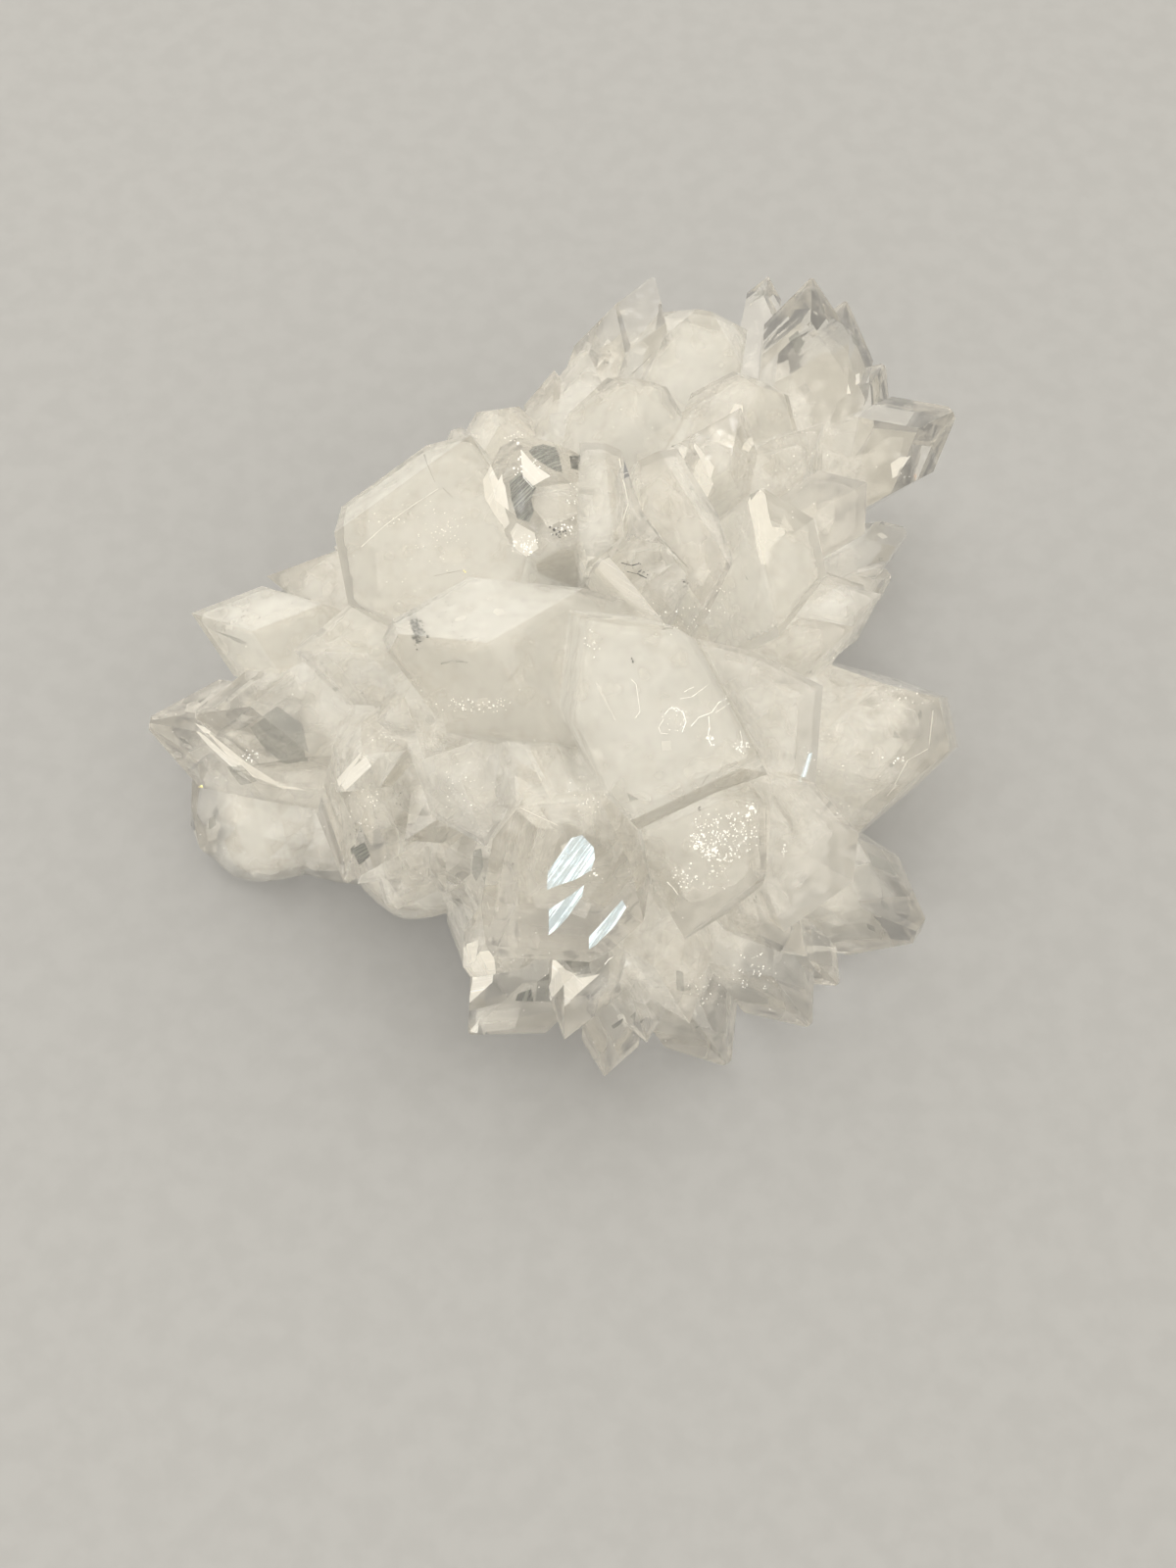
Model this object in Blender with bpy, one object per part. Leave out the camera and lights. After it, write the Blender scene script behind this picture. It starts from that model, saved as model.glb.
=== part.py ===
"""A free-standing cluster of clear apophyllite crystals, grown together into one solid.

The crystals are laid out as they are seen from one viewpoint, which looks down on the
cluster. A seen point has three numbers in millimetres: how far right and how far up it
shows on a plane through the layout's origin, square to the view, and how far in front of
that plane it lies. The layout is then tipped back and stood on the cluster's flat spot.
"""

import math
import random
from dataclasses import dataclass

import bmesh
import bpy
from mathutils import Matrix, Vector, noise

MM = 0.001
NODE = "crystal_cluster"

EYE_DISTANCE = 320  # from the layout's origin to the viewpoint
LOOK_DOWN = math.radians(60)  # the view's angle below the horizon
LAYOUT_ORIGIN = Vector((4.2, -25.4, 30))  # where the layout's origin stands in the world

GROUND_SIZE = 400  # of the block that cuts the flat spot

CRYSTAL_COLOUR = (0.93, 0.92, 0.88, 1)
CRYSTAL_ROUGHNESS = 0.05
CRYSTAL_IOR = 1.535
CRYSTAL_TRANSMISSION = 0.9

# Angle between an apophyllite crystal's long axis and a line square to a pyramid face.
PYRAMID_LEAN = math.radians(60.4)

CORE_CENTRE = Vector((2.2, -1.4, 12))  # of the mass that the crystals grow from
CORE_RADII = Vector((34, 34, 17))
CORE_ROUGHNESS = 0.15  # share of the radius by which its surface swells and sinks
CORE_SEED = 0
SWELLING_ROUGHNESS = 0.12
SWELLING_SEED = 4  # the first swelling's; the next ones count on from it
LUMPS_ACROSS = 1.7  # how many swells and hollows a lump has across its radius
SPRING = Vector((2.2, -1.4, 18))  # where the crystals of the hidden sides start
# The smooth mass under the lower left: the seen middle and the radii of each swelling.
SWELLINGS = [
    ((-40, -2, -27), (11.5, 12.5, 7)),
    ((-30, -6, -25), (12, 7.5, 5.5)),
    ((-20.5, -10, -20), (10, 7.5, 7)),
]


@dataclass
class Crystal:
    """A square prism that ends in a four-sided point whose faces cut its edges."""

    tip: tuple
    root: tuple
    wide: float
    deep: float = 0  # the same as wide where it is 0
    turn: float = 0  # degrees about its own axis; at 0 a side face looks at the eye
    blunt: float = 0  # how much of the point a flat end takes off
    skew: tuple = (0, 0, 0, 0)  # how far each face of the point is moved out


@dataclass
class Block:
    """A crystal known by one large flat face, which runs back towards its root."""

    corners: list  # seen right and up
    near: float  # how far forward the middle of the face lies
    root: tuple
    lean: tuple = (0, 0)  # rise towards the eye for each millimetre right and up
    bevels: tuple = ()  # (edge, how far in it starts, degrees it falls away)
    taper: float = 0.8


LEFT_SIDE = [
    Crystal((-57, 8, -20), (-12, 0, -26), wide=15, blunt=1.2),
    Crystal((-50.6, 21.8, -12), (-10, 9, -22), wide=12.5),
    Crystal((-50.8, 8.8, -8), (-12, 8, -22), wide=13, deep=11, turn=12, blunt=0.8),
    Crystal((-37.6, 17, 0), (-6, 15, -22), wide=13, deep=12),
    Crystal((-41, 26.5, -17), (-5, 20, -24), wide=13, turn=45),
    Crystal((-31, -12.8, 0), (-20, 14, -18), wide=14, deep=12, turn=8, blunt=0.5),
    Crystal((-32, -1, 4), (-15, 14, -14), wide=7, turn=20),
    Crystal((-24, -14.6, -6), (-20, 0, -18), wide=6, turn=15),
    Crystal((-18, -14, -4), (-13, 2, -18), wide=7, turn=30),
    Crystal((-15.2, -25, -12), (-8, -2, -20), wide=12, turn=30, blunt=2),
    Crystal((-25.6, -16.6, -10), (-16, 2, -20), wide=9, turn=10, blunt=1.2),
]

MIDDLE_LEFT = [
    Block(
        [
            (-33.3, 36.9),
            (-30.6, 22.9),
            (-24.4, 20.4),
            (-10, 20),
            (-7, 32),
            (-15, 44.6),
            (-22.2, 44.9),
        ],
        near=2,
        root=(-2, 16, -24),
        lean=(0.22, -0.25),
        bevels=((6, 5, 35),),
    ),
    Crystal((-27.6, 19.5, 14), (12, 9, -10), wide=20, deep=18, turn=12, blunt=2.6),
    Crystal((-20.9, 3.2, 10), (-9, 24, -8), wide=12, turn=5),
    Crystal((-13, -8, 8), (-18, 16, -12), wide=12, deep=11, turn=10),
    Crystal((-27, 8, 6), (-8, 14, -14), wide=11, turn=35),
    Crystal((-1, -6.2, 17), (-10, 16, -6), wide=5, turn=20),
    Crystal((-4, -5.6, 14), (-13, 12, -6), wide=7, turn=50),
]

MIDDLE = [
    Block(
        [
            (0, 21.3),
            (11.3, 20),
            (14.4, 18.2),
            (23.8, 0.6),
            (16.9, -1.5),
            (6.9, -6.3),
            (2.3, -1.5),
            (-2, 8),
        ],
        near=20,
        root=(0, 14, -20),
        lean=(-0.12, 0.12),
        bevels=((2, 3, 40), (4, 2, 45)),
    ),
    Block(
        [
            (-8.8, -2.8),
            (1.5, -1.9),
            (5.3, -10),
            (7.1, -17.5),
            (0, -23.8),
            (-12.5, -23.1),
            (-14.1, -16.3),
            (-12.5, -7.8),
        ],
        near=15,
        root=(2, 6, -18),
        lean=(0.04, 0.3),
        bevels=((4, 2.5, 40), (6, 2, 40)),
    ),
    Block(
        [
            (6.9, -6.3),
            (17.5, -1.9),
            (22.8, -2.8),
            (22.8, -13.8),
            (18.1, -17.5),
            (12.5, -20),
            (8.1, -12.5),
        ],
        near=12,
        root=(6, 8, -20),
        lean=(-0.05, 0.35),
        bevels=((3, 2, 45),),
    ),
    Block(
        [(14, 18.5), (21, 17), (30, 12.5), (29, 0), (23.8, 0.6)],
        near=9,
        root=(4, 12, -20),
        lean=(-0.45, 0.1),
    ),
    Block(
        [(23.5, 0.8), (29, 0), (34.5, -6.3), (33.8, -12.5), (25, -18.8), (22.8, -13.5)],
        near=7,
        root=(6, 6, -20),
        lean=(-0.3, 0.3),
    ),
]

BOTTOM = [
    Crystal((-15.3, -32, -2), (6, -10.5, -25), wide=14, deep=12, turn=0, blunt=0.5),
    Crystal((-16, -25, 0), (4, -4, -14), wide=9, turn=20, blunt=1.5),
    Crystal((2.1, -37.3, -3), (6, -14, -14), wide=7.5, turn=10),
    Crystal((-3, -32.6, 2), (6, -8, -10), wide=9, turn=35),
    Crystal((7.5, -33, 0), (5, -10, -12), wide=9, turn=20),
    Crystal((18.2, -36.2, -5), (1.5, -10.5, -16), wide=11.5, turn=5, blunt=0.8),
    Crystal((13, -30.5, 3), (6, -6, -12), wide=11, turn=28),
    Crystal((28.6, -31.2, -3), (10, -7, -14), wide=11.5, turn=0, blunt=0.6),
    Crystal((32.2, -25.8, -6), (14, -8, -16), wide=6.5, turn=0, blunt=0.5),
    Crystal((28, -22, 2), (10, -2, -12), wide=8, turn=40),
]

RIGHT_SIDE = [
    Crystal((44.2, -19.8, -12), (12, -2.5, -22), wide=15, turn=8, blunt=2.3),
    Crystal((36, -10, -4), (10, 2, -18), wide=10, turn=25),
    Crystal((51.7, 9, -8), (10, 0, -22), wide=19.5, turn=45, blunt=6),
    Crystal((37.4, 24.2, -20), (15, 14, -24), wide=9, turn=15),
    Crystal((41.2, 32.6, -32), (25, 25, -30), wide=6, turn=30, blunt=1),
    Crystal((39.2, 27, -33), (22, 20, -30), wide=5.5, turn=10, blunt=1),
    Crystal((47.4, 47.9, -30), (16.5, 31, -30), wide=12, turn=0, blunt=1.2),
    Block(
        [(20.6, 36.9), (22.3, 37.8), (28.8, 33.8), (30.5, 26.6), (24.4, 18.8)],
        near=8,
        root=(6, 18, -22),
        lean=(-0.35, -0.15),
    ),
    Block(
        [(29.4, 40), (35.6, 38.5), (35.3, 31.9), (30, 28.8), (29, 33.8)],
        near=1,
        root=(8, 20, -24),
        lean=(-0.25, -0.2),
    ),
    Crystal((34, 20, -6), (10, 12, -20), wide=9, turn=40),
]

TOP = [
    Crystal((28.6, 64.8, -32), (25, 30, -32), wide=12, turn=0, blunt=0.4),
    Crystal((33, 61.8, -37), (24, 30, -34), wide=12, turn=0, blunt=0.4),
    Crystal((38, 53.8, -34), (24, 34, -32), wide=7, turn=0, blunt=0.6),
    Crystal((23, 64.8, -38), (18, 40, -34), wide=5),
    Crystal((16, 66.5, -34), (9, 30, -30), wide=13, deep=12, blunt=8.8),
    Crystal((8.5, 65, -30), (-3, 31, -30), wide=10.5, turn=45, blunt=0.5),
    Crystal((-4.3, 52.8, -24), (-5, 32, -26), wide=8),
    Crystal((-12, 51.2, -20), (-9, 30, -24), wide=9, blunt=3.6),
    Crystal((-17, 46.2, -18), (-12, 28, -24), wide=6, blunt=1),
    Crystal((7, 56, -14), (2, 24, -24), wide=17, deep=13, blunt=5),
    Crystal((24, 55.5, -16), (10, 24, -26), wide=16, deep=14, blunt=5),
    Block(
        [
            (-13.1, 41),
            (-11.5, 44),
            (-6.9, 45),
            (-1, 43.1),
            (-0.6, 33.8),
            (-1.9, 30.4),
            (-6.9, 29),
            (-10.6, 31.9),
        ],
        near=7,
        root=(-4, 26, -20),
        lean=(0.12, -0.2),
        bevels=((0, 2.6, 42), (2, 2.2, 40), (3, 3, 45), (6, 2.6, 40)),
        taper=0.9,
    ),
    Block(
        [(-1, 43.6), (4.4, 43.4), (5.2, 36), (4.4, 31), (0, 28.4), (-1.4, 33.8)],
        near=6,
        root=(-1, 26, -20),
        lean=(-0.2, -0.12),
        bevels=((1, 2.4, 35),),
        taper=0.9,
    ),
    Block(
        [
            (4.6, 41.3),
            (6.9, 34.8),
            (12.5, 27.3),
            (12.8, 25),
            (10.8, 20.3),
            (5, 24.8),
            (1.2, 29),
            (4.4, 31.5),
        ],
        near=8,
        root=(2, 20, -20),
        lean=(-0.25, 0.15),
        bevels=((5, 2.5, 40),),
        taper=0.9,
    ),
    Block(
        [
            (6.5, 41.3),
            (11.9, 43.8),
            (17.1, 35.4),
            (18.7, 28.8),
            (15.3, 21.5),
            (12.6, 25.6),
            (6.7, 34.8),
        ],
        near=7,
        root=(5, 20, -20),
        lean=(0.12, 0.1),
        bevels=((1, 3, 38),),
        taper=0.9,
    ),
    Crystal((13, 44, 3), (5, 24, -20), wide=11, turn=10),
    Crystal((19.5, 48, -2), (8, 24, -22), wide=10, turn=25),
    Crystal((30, 46, -8), (12, 26, -24), wide=11, turn=38),
]

# Crystals of the back and of the lower edge all round. Each has its bearing, from +X
# towards +Y, and its rise above the level, in degrees, then its reach, width and turn.
HIDDEN_SIDES = [
    (15, 8, 42, 11, 10),
    (30, 22, 44, 12, 30),
    (38, -8, 46, 13, 0),
    (52, 12, 50, 14, 20),
    (60, 35, 40, 12, 5),
    (66, -12, 44, 11, 40),
    (78, 4, 52, 15, 12),
    (88, 24, 46, 13, 33),
    (95, -10, 47, 12, 5),
    (104, 10, 42, 14, 25),
    (112, 34, 31, 11, 8),
    (118, -8, 38, 13, 42),
    (130, 8, 38, 12, 15),
    (142, -10, 39, 12, 30),
    (152, 12, 38, 11, 0),
    (164, -8, 41, 12, 20),
    (182, -10, 47, 12, 5),
    (207, -13, 43, 12, 35),
    (238, -14, 34, 11, 10),
    (262, -15, 42, 11, 25),
    (288, -14, 43, 12, 0),
    (314, -15, 43, 11, 38),
    (340, -13, 45, 12, 15),
]

FREE_DEPTH = 0.93  # depth of a hidden side's or a gap's crystal, as a share of its width
HIDDEN_BLUNT = 0.05  # how much of its point a flat end takes off, as a share of its width

FILLERS = 110  # small crystals in the gaps, before those underneath are left out
FILLER_SEED = 7
FILLER_STRAY = 0.12  # how far one may point away from its even place, in radians or so
FILLER_STAND_OUT = (3, 8)  # least and most height of its point above the core
FILLER_WIDE = (6.5, 10)
LOWEST_FILLER = -0.5  # sine of the steepest way down that one points

NEARLY_END_ON = 0.97  # cosine below which a crystal isn't seen from its point


def on_sight(seen):
    """A seen point as a point of the layout, moved along its line of sight."""
    right, up, near = seen
    shrink = 1 - near / EYE_DISTANCE
    return Vector((right * shrink, up * shrink, near))


def layout_to_world():
    """The matrix that carries the layout, in millimetres, into the world in metres."""
    up = math.sin(LOOK_DOWN)
    away = math.cos(LOOK_DOWN)
    tilt = Matrix(((1, 0, 0), (0, up, -away), (0, away, up))).to_4x4()
    return Matrix.Scale(MM, 4) @ Matrix.Translation(LAYOUT_ORIGIN) @ tilt


def cut(mesh, point, normal):
    """Cuts away what lies beyond a plane, and closes the cut with one flat face."""
    everything = mesh.verts[:] + mesh.edges[:] + mesh.faces[:]
    made = bmesh.ops.bisect_plane(
        mesh, geom=everything, plane_co=point, plane_no=normal, clear_outer=True
    )
    rim = [part for part in made["geom_cut"] if isinstance(part, bmesh.types.BMEdge)]
    if rim:
        bmesh.ops.contextual_create(mesh, geom=rim)


def crystal_axes(tip, root, turn):
    """Axes at the tip: +Z along the crystal, +Y towards the eye before the turn."""
    along = (tip - root).normalized()
    eye = Vector((0, 0, 1))
    if abs(along.dot(eye)) > NEARLY_END_ON:
        eye = Vector((0, 1, 0))
    front = (eye - along * along.dot(eye)).normalized()
    axes = Matrix((front.cross(along), front, along)).transposed().to_4x4()
    spin = Matrix.Rotation(math.radians(turn), 4, "Z")
    return Matrix.Translation(tip) @ axes @ spin


def crystal_mesh(wide, deep, length, blunt=0, skew=(0, 0, 0, 0)):
    """One crystal with its point at the origin, standing on -Z."""
    mesh = bmesh.new()
    bmesh.ops.create_cube(mesh, size=1)
    bmesh.ops.scale(mesh, vec=(wide, deep, length), verts=mesh.verts)
    bmesh.ops.translate(mesh, vec=(0, 0, -length / 2), verts=mesh.verts)
    for quarter, moved_out in enumerate(skew):
        around = math.radians(45 + 90 * quarter)
        across = math.sin(PYRAMID_LEAN)
        normal = Vector(
            (across * math.cos(around), across * math.sin(around), math.cos(PYRAMID_LEAN))
        )
        cut(mesh, normal * moved_out, normal)
    if blunt:
        cut(mesh, Vector((0, 0, -blunt)), Vector((0, 0, 1)))
    return mesh


def laid_out_crystal(crystal):
    """A crystal of the layout, in the world."""
    tip = on_sight(crystal.tip)
    root = on_sight(crystal.root)
    deep = crystal.deep or crystal.wide
    length = (tip - root).length
    mesh = crystal_mesh(crystal.wide, deep, length, crystal.blunt, crystal.skew)
    place = layout_to_world() @ crystal_axes(tip, root, crystal.turn)
    bmesh.ops.transform(mesh, matrix=place, verts=mesh.verts)
    return mesh


def laid_out_block(block):
    """A block of the layout, in the world: its face drawn, then extruded to its root."""
    rights = [corner[0] for corner in block.corners]
    ups = [corner[1] for corner in block.corners]
    middle = on_sight((sum(rights) / len(rights), sum(ups) / len(ups), block.near))
    normal = Vector((-block.lean[0], -block.lean[1], 1)).normalized()
    eye = Vector((0, 0, EYE_DISTANCE))
    corners = []
    for right, up in block.corners:
        sight = Vector((right, up, 0)) - eye
        corners.append(eye + sight * (normal.dot(middle - eye) / normal.dot(sight)))
    mesh = bmesh.new()
    face = mesh.faces.new([mesh.verts.new(corner) for corner in corners])
    back = bmesh.ops.extrude_face_region(mesh, geom=[face])
    back_verts = [part for part in back["geom"] if isinstance(part, bmesh.types.BMVert)]
    root = on_sight(block.root)
    for vert in back_verts:
        vert.co = root + (vert.co - middle) * block.taper
    bmesh.ops.recalc_face_normals(mesh, faces=mesh.faces)
    for edge, inset, fall in block.bevels:
        start = corners[edge]
        run = (corners[(edge + 1) % len(corners)] - start).normalized()
        outward = run.cross(normal)
        if outward.dot(start - middle) < 0:
            outward = -outward
        fall = math.radians(fall)
        cut(
            mesh,
            start - outward * inset,
            normal * math.cos(fall) + outward * math.sin(fall),
        )
    bmesh.ops.transform(mesh, matrix=layout_to_world(), verts=mesh.verts)
    return mesh


def lump(centre, radii, roughness, seed):
    """A closed uneven lump, as the crystals' grown-together roots."""
    mesh = bmesh.new()
    bmesh.ops.create_icosphere(mesh, subdivisions=3, radius=1)
    for vert in mesh.verts:
        swell = noise.noise(vert.co * LUMPS_ACROSS + Vector((seed, 0, 0)))
        vert.co *= 1 + roughness * swell
        vert.co = (centre + vert.co * radii) * MM
    return mesh


def free_crystal(direction, reach, wide, turn, blunt=0):
    """A crystal of the hidden sides or the gaps, in the world."""
    tip = SPRING + direction * reach
    mesh = crystal_mesh(wide, wide * FREE_DEPTH, reach, blunt)
    place = Matrix.Scale(MM, 4) @ crystal_axes(tip, SPRING, turn)
    bmesh.ops.transform(mesh, matrix=place, verts=mesh.verts)
    return mesh


def hidden_side_crystals():
    """The larger crystals that the view from the eye doesn't show."""
    for bearing, rise, reach, wide, turn in HIDDEN_SIDES:
        bearing = math.radians(bearing)
        rise = math.radians(rise)
        level = math.cos(rise)
        direction = Vector(
            (level * math.cos(bearing), level * math.sin(bearing), math.sin(rise))
        )
        yield free_crystal(direction, reach, wide, turn, blunt=wide * HIDDEN_BLUNT)


def filler_crystals():
    """Small crystals in the gaps, spread evenly over the core and a little unruly."""
    rng = random.Random(FILLER_SEED)
    golden_turn = math.pi * (3 - math.sqrt(5))
    for index in range(FILLERS):
        height = 1 - 2 * (index + 0.5) / FILLERS
        level = math.sqrt(1 - height * height)
        around = index * golden_turn
        direction = Vector((level * math.cos(around), level * math.sin(around), height))
        direction += Vector([rng.uniform(-FILLER_STRAY, FILLER_STRAY) for axis in range(3)])
        direction.normalize()
        stand_out = rng.uniform(*FILLER_STAND_OUT)
        wide = rng.uniform(*FILLER_WIDE)
        turn = rng.uniform(0, 90)
        if direction.z < LOWEST_FILLER:
            continue
        squashed = Vector([direction[i] / CORE_RADII[i] for i in range(3)])
        yield free_crystal(direction, 1 / squashed.length + stand_out, wide, turn)


def mesh_object(name, mesh):
    """A linked object that holds a bmesh."""
    data = bpy.data.meshes.new(name)
    mesh.to_mesh(data)
    mesh.free()
    thing = bpy.data.objects.new(name, data)
    bpy.context.collection.objects.link(thing)
    return thing


def all_crystals():
    """The meshes that grow together, from the largest masses to the small crystals."""
    for number, (middle, radii) in enumerate(SWELLINGS):
        centre = layout_to_world() @ on_sight(middle) / MM
        yield lump(centre, Vector(radii), SWELLING_ROUGHNESS, SWELLING_SEED + number)
    for crystal in LEFT_SIDE + MIDDLE_LEFT + MIDDLE + BOTTOM + RIGHT_SIDE + TOP:
        if isinstance(crystal, Block):
            yield laid_out_block(crystal)
        else:
            yield laid_out_crystal(crystal)
    yield from hidden_side_crystals()
    yield from filler_crystals()


def combine(whole, other, operation):
    """Joins another object to the whole, or cuts it away, and removes the other."""
    boolean = whole.modifiers.new("grown_together", "BOOLEAN")
    boolean.operation = operation
    boolean.solver = "EXACT"
    boolean.object = other
    graph = bpy.context.evaluated_depsgraph_get()
    result = bpy.data.meshes.new_from_object(whole.evaluated_get(graph))
    whole.modifiers.clear()
    whole.data = result
    bpy.data.objects.remove(other)


def keep_outer_shell(thing):
    """Fills gaps sealed in among the roots, by removing all but the largest surface."""
    mesh = bmesh.new()
    mesh.from_mesh(thing.data)
    unvisited = set(mesh.faces)
    shells = []
    while unvisited:
        shell = set()
        edge_of_shell = [unvisited.pop()]
        while edge_of_shell:
            face = edge_of_shell.pop()
            shell.add(face)
            beside = {other for edge in face.edges for other in edge.link_faces}
            fresh = beside & unvisited
            unvisited -= fresh
            edge_of_shell.extend(fresh)
        shells.append(shell)
    outer = max(shells, key=lambda shell: sum(face.calc_area() for face in shell))
    spare = [face for shell in shells if shell is not outer for face in shell]
    bmesh.ops.delete(mesh, geom=spare, context="FACES")
    mesh.to_mesh(thing.data)
    mesh.free()


def clear_material():
    """Clear, faintly warm crystal."""
    material = bpy.data.materials.new("clear_crystal")
    material.use_nodes = True
    shader = material.node_tree.nodes["Principled BSDF"]
    shader.inputs["Base Color"].default_value = CRYSTAL_COLOUR
    shader.inputs["Roughness"].default_value = CRYSTAL_ROUGHNESS
    shader.inputs["Metallic"].default_value = 0
    shader.inputs["IOR"].default_value = CRYSTAL_IOR
    shader.inputs["Transmission Weight"].default_value = CRYSTAL_TRANSMISSION
    return material


def main():
    for thing in list(bpy.data.objects):
        bpy.data.objects.remove(thing)
    core = lump(CORE_CENTRE, CORE_RADII, CORE_ROUGHNESS, CORE_SEED)
    cluster = mesh_object(NODE, core)
    for mesh in all_crystals():
        combine(cluster, mesh_object("crystal", mesh), "UNION")
    ground = bmesh.new()
    bmesh.ops.create_cube(ground, size=GROUND_SIZE * MM)
    bmesh.ops.translate(ground, vec=(0, 0, -GROUND_SIZE * MM / 2), verts=ground.verts)
    combine(cluster, mesh_object("ground", ground), "DIFFERENCE")
    keep_outer_shell(cluster)
    cluster.data.materials.clear()
    cluster.data.materials.append(clear_material())


if __name__ == "__main__":
    main()
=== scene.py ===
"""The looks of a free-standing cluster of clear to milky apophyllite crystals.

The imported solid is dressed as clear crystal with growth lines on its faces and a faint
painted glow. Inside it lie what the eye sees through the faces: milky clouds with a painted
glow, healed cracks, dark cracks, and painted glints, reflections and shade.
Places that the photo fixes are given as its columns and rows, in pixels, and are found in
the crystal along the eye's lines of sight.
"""

import logging
import math
import random
from dataclasses import dataclass
from enum import Enum

import bpy
import numpy as np
from mathutils import Matrix, Vector
from mathutils.bvhtree import BVHTree


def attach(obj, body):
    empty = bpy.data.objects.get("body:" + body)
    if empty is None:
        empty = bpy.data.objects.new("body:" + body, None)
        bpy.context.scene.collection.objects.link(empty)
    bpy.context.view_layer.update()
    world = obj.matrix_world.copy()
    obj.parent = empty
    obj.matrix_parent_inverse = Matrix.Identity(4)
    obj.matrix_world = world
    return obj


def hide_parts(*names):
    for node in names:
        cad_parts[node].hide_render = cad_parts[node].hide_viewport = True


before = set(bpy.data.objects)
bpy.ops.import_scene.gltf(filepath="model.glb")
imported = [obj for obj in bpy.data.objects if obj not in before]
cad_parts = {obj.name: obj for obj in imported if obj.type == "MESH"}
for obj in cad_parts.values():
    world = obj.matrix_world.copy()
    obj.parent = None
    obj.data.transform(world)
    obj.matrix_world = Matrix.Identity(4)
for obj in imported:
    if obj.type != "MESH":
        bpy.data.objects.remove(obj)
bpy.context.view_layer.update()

LOG = logging.getLogger("apophyllite")

MM = 0.001
NODE = "crystal_cluster"
BODY = "root"
HEART = Vector((2.2, -1.4, 18)) * MM  # the point that the crystals grow out from
PIXEL = 0.125 * MM  # how much of the cluster one pixel of the photo spans

NOISE_SPREAD = (0.35, 0.65)  # most of a noise pattern's values lie between these
LINE_GRAIN = (60, 1300, 1)  # waves in a metre, along the lines and across them
STREAK_GRAIN = (70, 1400, 1)
FINE_STREAK_GRAIN = (200, 4000, 1)
LINE_HEIGHT = 0.02  # millimetres
RIPPLE_HEIGHT = 0.16  # millimetres


@dataclass(frozen=True)
class Viewpoint:
    """Where the cluster is seen from: it looks down on it, tipped from the level."""

    photo_wide: float = 1200  # pixels
    photo_high: float = 1600
    field_high: float = 200 * MM  # height of the photo's field at the layout's origin
    eye_distance: float = 320 * MM
    look_down: float = math.radians(60)
    layout_origin: tuple = (4.2 * MM, -25.4 * MM, 30 * MM)
    sensor_high: float = 24  # millimetres

    def axes(self) -> Matrix:
        """The layout's own axes: right, up the view and towards the eye.

        Returns:
            A matrix whose columns are the axes.
        """
        rise = math.sin(self.look_down)
        away = math.cos(self.look_down)
        return Matrix(((1, 0, 0), (0, rise, -away), (0, away, rise)))

    def eye(self) -> Vector:
        """The eye's place in the world."""
        toward = self.axes() @ Vector((0, 0, self.eye_distance))
        return Vector(self.layout_origin) + toward

    def sight(self, spot: tuple) -> Vector:
        """The direction from the eye through a spot of the photo.

        Args:
            spot: the spot's column and row.

        Returns:
            A unit vector in the world.
        """
        size = self.field_high / self.photo_high
        across = (spot[0] - self.photo_wide / 2) * size
        rise = (self.photo_high / 2 - spot[1]) * size
        return (self.axes() @ Vector((across, rise, -self.eye_distance))).normalized()

    def make_camera(self) -> None:
        """Stands the camera at the eye."""
        data = bpy.data.cameras.new("camera")
        data.sensor_fit = "VERTICAL"
        data.sensor_height = self.sensor_high
        data.lens = self.sensor_high * self.eye_distance / self.field_high
        data.clip_start = 0.01
        camera = bpy.data.objects.new("camera", data)
        bpy.context.scene.collection.objects.link(camera)
        camera.matrix_world = Matrix.Translation(self.eye()) @ self.axes().to_4x4()
        bpy.context.scene.camera = camera


@dataclass
class Sighting:
    """Finds where lines of sight meet the crystal's surface."""

    viewpoint: Viewpoint
    surface: BVHTree

    def meet(self, spot: Vector | tuple) -> tuple:
        """Where the line of sight through a spot meets the surface.

        Args:
            spot: column and row in the photo.

        Returns:
            The point, the face's normal, its number and the distance, or four times None.
        """
        return self.surface.ray_cast(self.viewpoint.eye(), self.viewpoint.sight(spot))

    def under(self, spot: tuple, depth: float) -> Vector | None:
        """The point that lies a depth beyond the surface along a line of sight.

        Args:
            spot: column and row in the photo.
            depth: how far beyond, in metres.

        Returns:
            The point, or None where the line misses the crystal.
        """
        point = self.meet(spot)[0]
        return point + self.viewpoint.sight(spot) * depth if point else None

    def flat_under(self, corners: list, depth: float) -> list:
        """A flat outline that shows at given corners and lies under the surface all over.

        It is parallel to the face that lets it lie least deep.

        Args:
            corners: columns and rows in the photo.
            depth: least distance from the surface, along the lines of sight.

        Returns:
            The outline's points, in order, without those that miss the crystal.
        """
        corners = [Vector(spot) for spot in corners if self.meet(spot)[0]]
        if not corners:
            return []
        centre = sum(corners, Vector((0, 0))) / len(corners)
        spots = corners + [centre] + [centre.lerp(spot, 0.5) for spot in corners]
        sights = [self.viewpoint.sight(spot) for spot in spots]
        met = [self.meet(spot) for spot in spots]
        found = [(sight, *hit) for sight, hit in zip(sights, met) if hit[0]]
        eye = self.viewpoint.eye()
        least, outline = math.inf, []
        for _, point, normal, *_ in found:
            reaches = [normal.dot(point - eye) / normal.dot(sight) for sight, *_ in found]
            slack = [hit[-1] - reach for hit, reach in zip(found, reaches)]
            push = max(slack) + depth
            mean = sum(push - gap for gap in slack) / len(slack)
            if mean < least:
                least = mean
                outline = [
                    eye + sight * (normal.dot(point - eye) / normal.dot(sight) + push)
                    for sight in sights[: len(corners)]
                ]
        return outline


def deselect_all() -> None:
    """Leaves nothing selected."""
    bpy.ops.object.select_all(action="DESELECT")


def make_active(thing: bpy.types.Object) -> None:
    """Selects one object alone, and makes it the active one."""
    deselect_all()
    thing.select_set(True)
    bpy.context.view_layer.objects.active = thing


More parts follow.
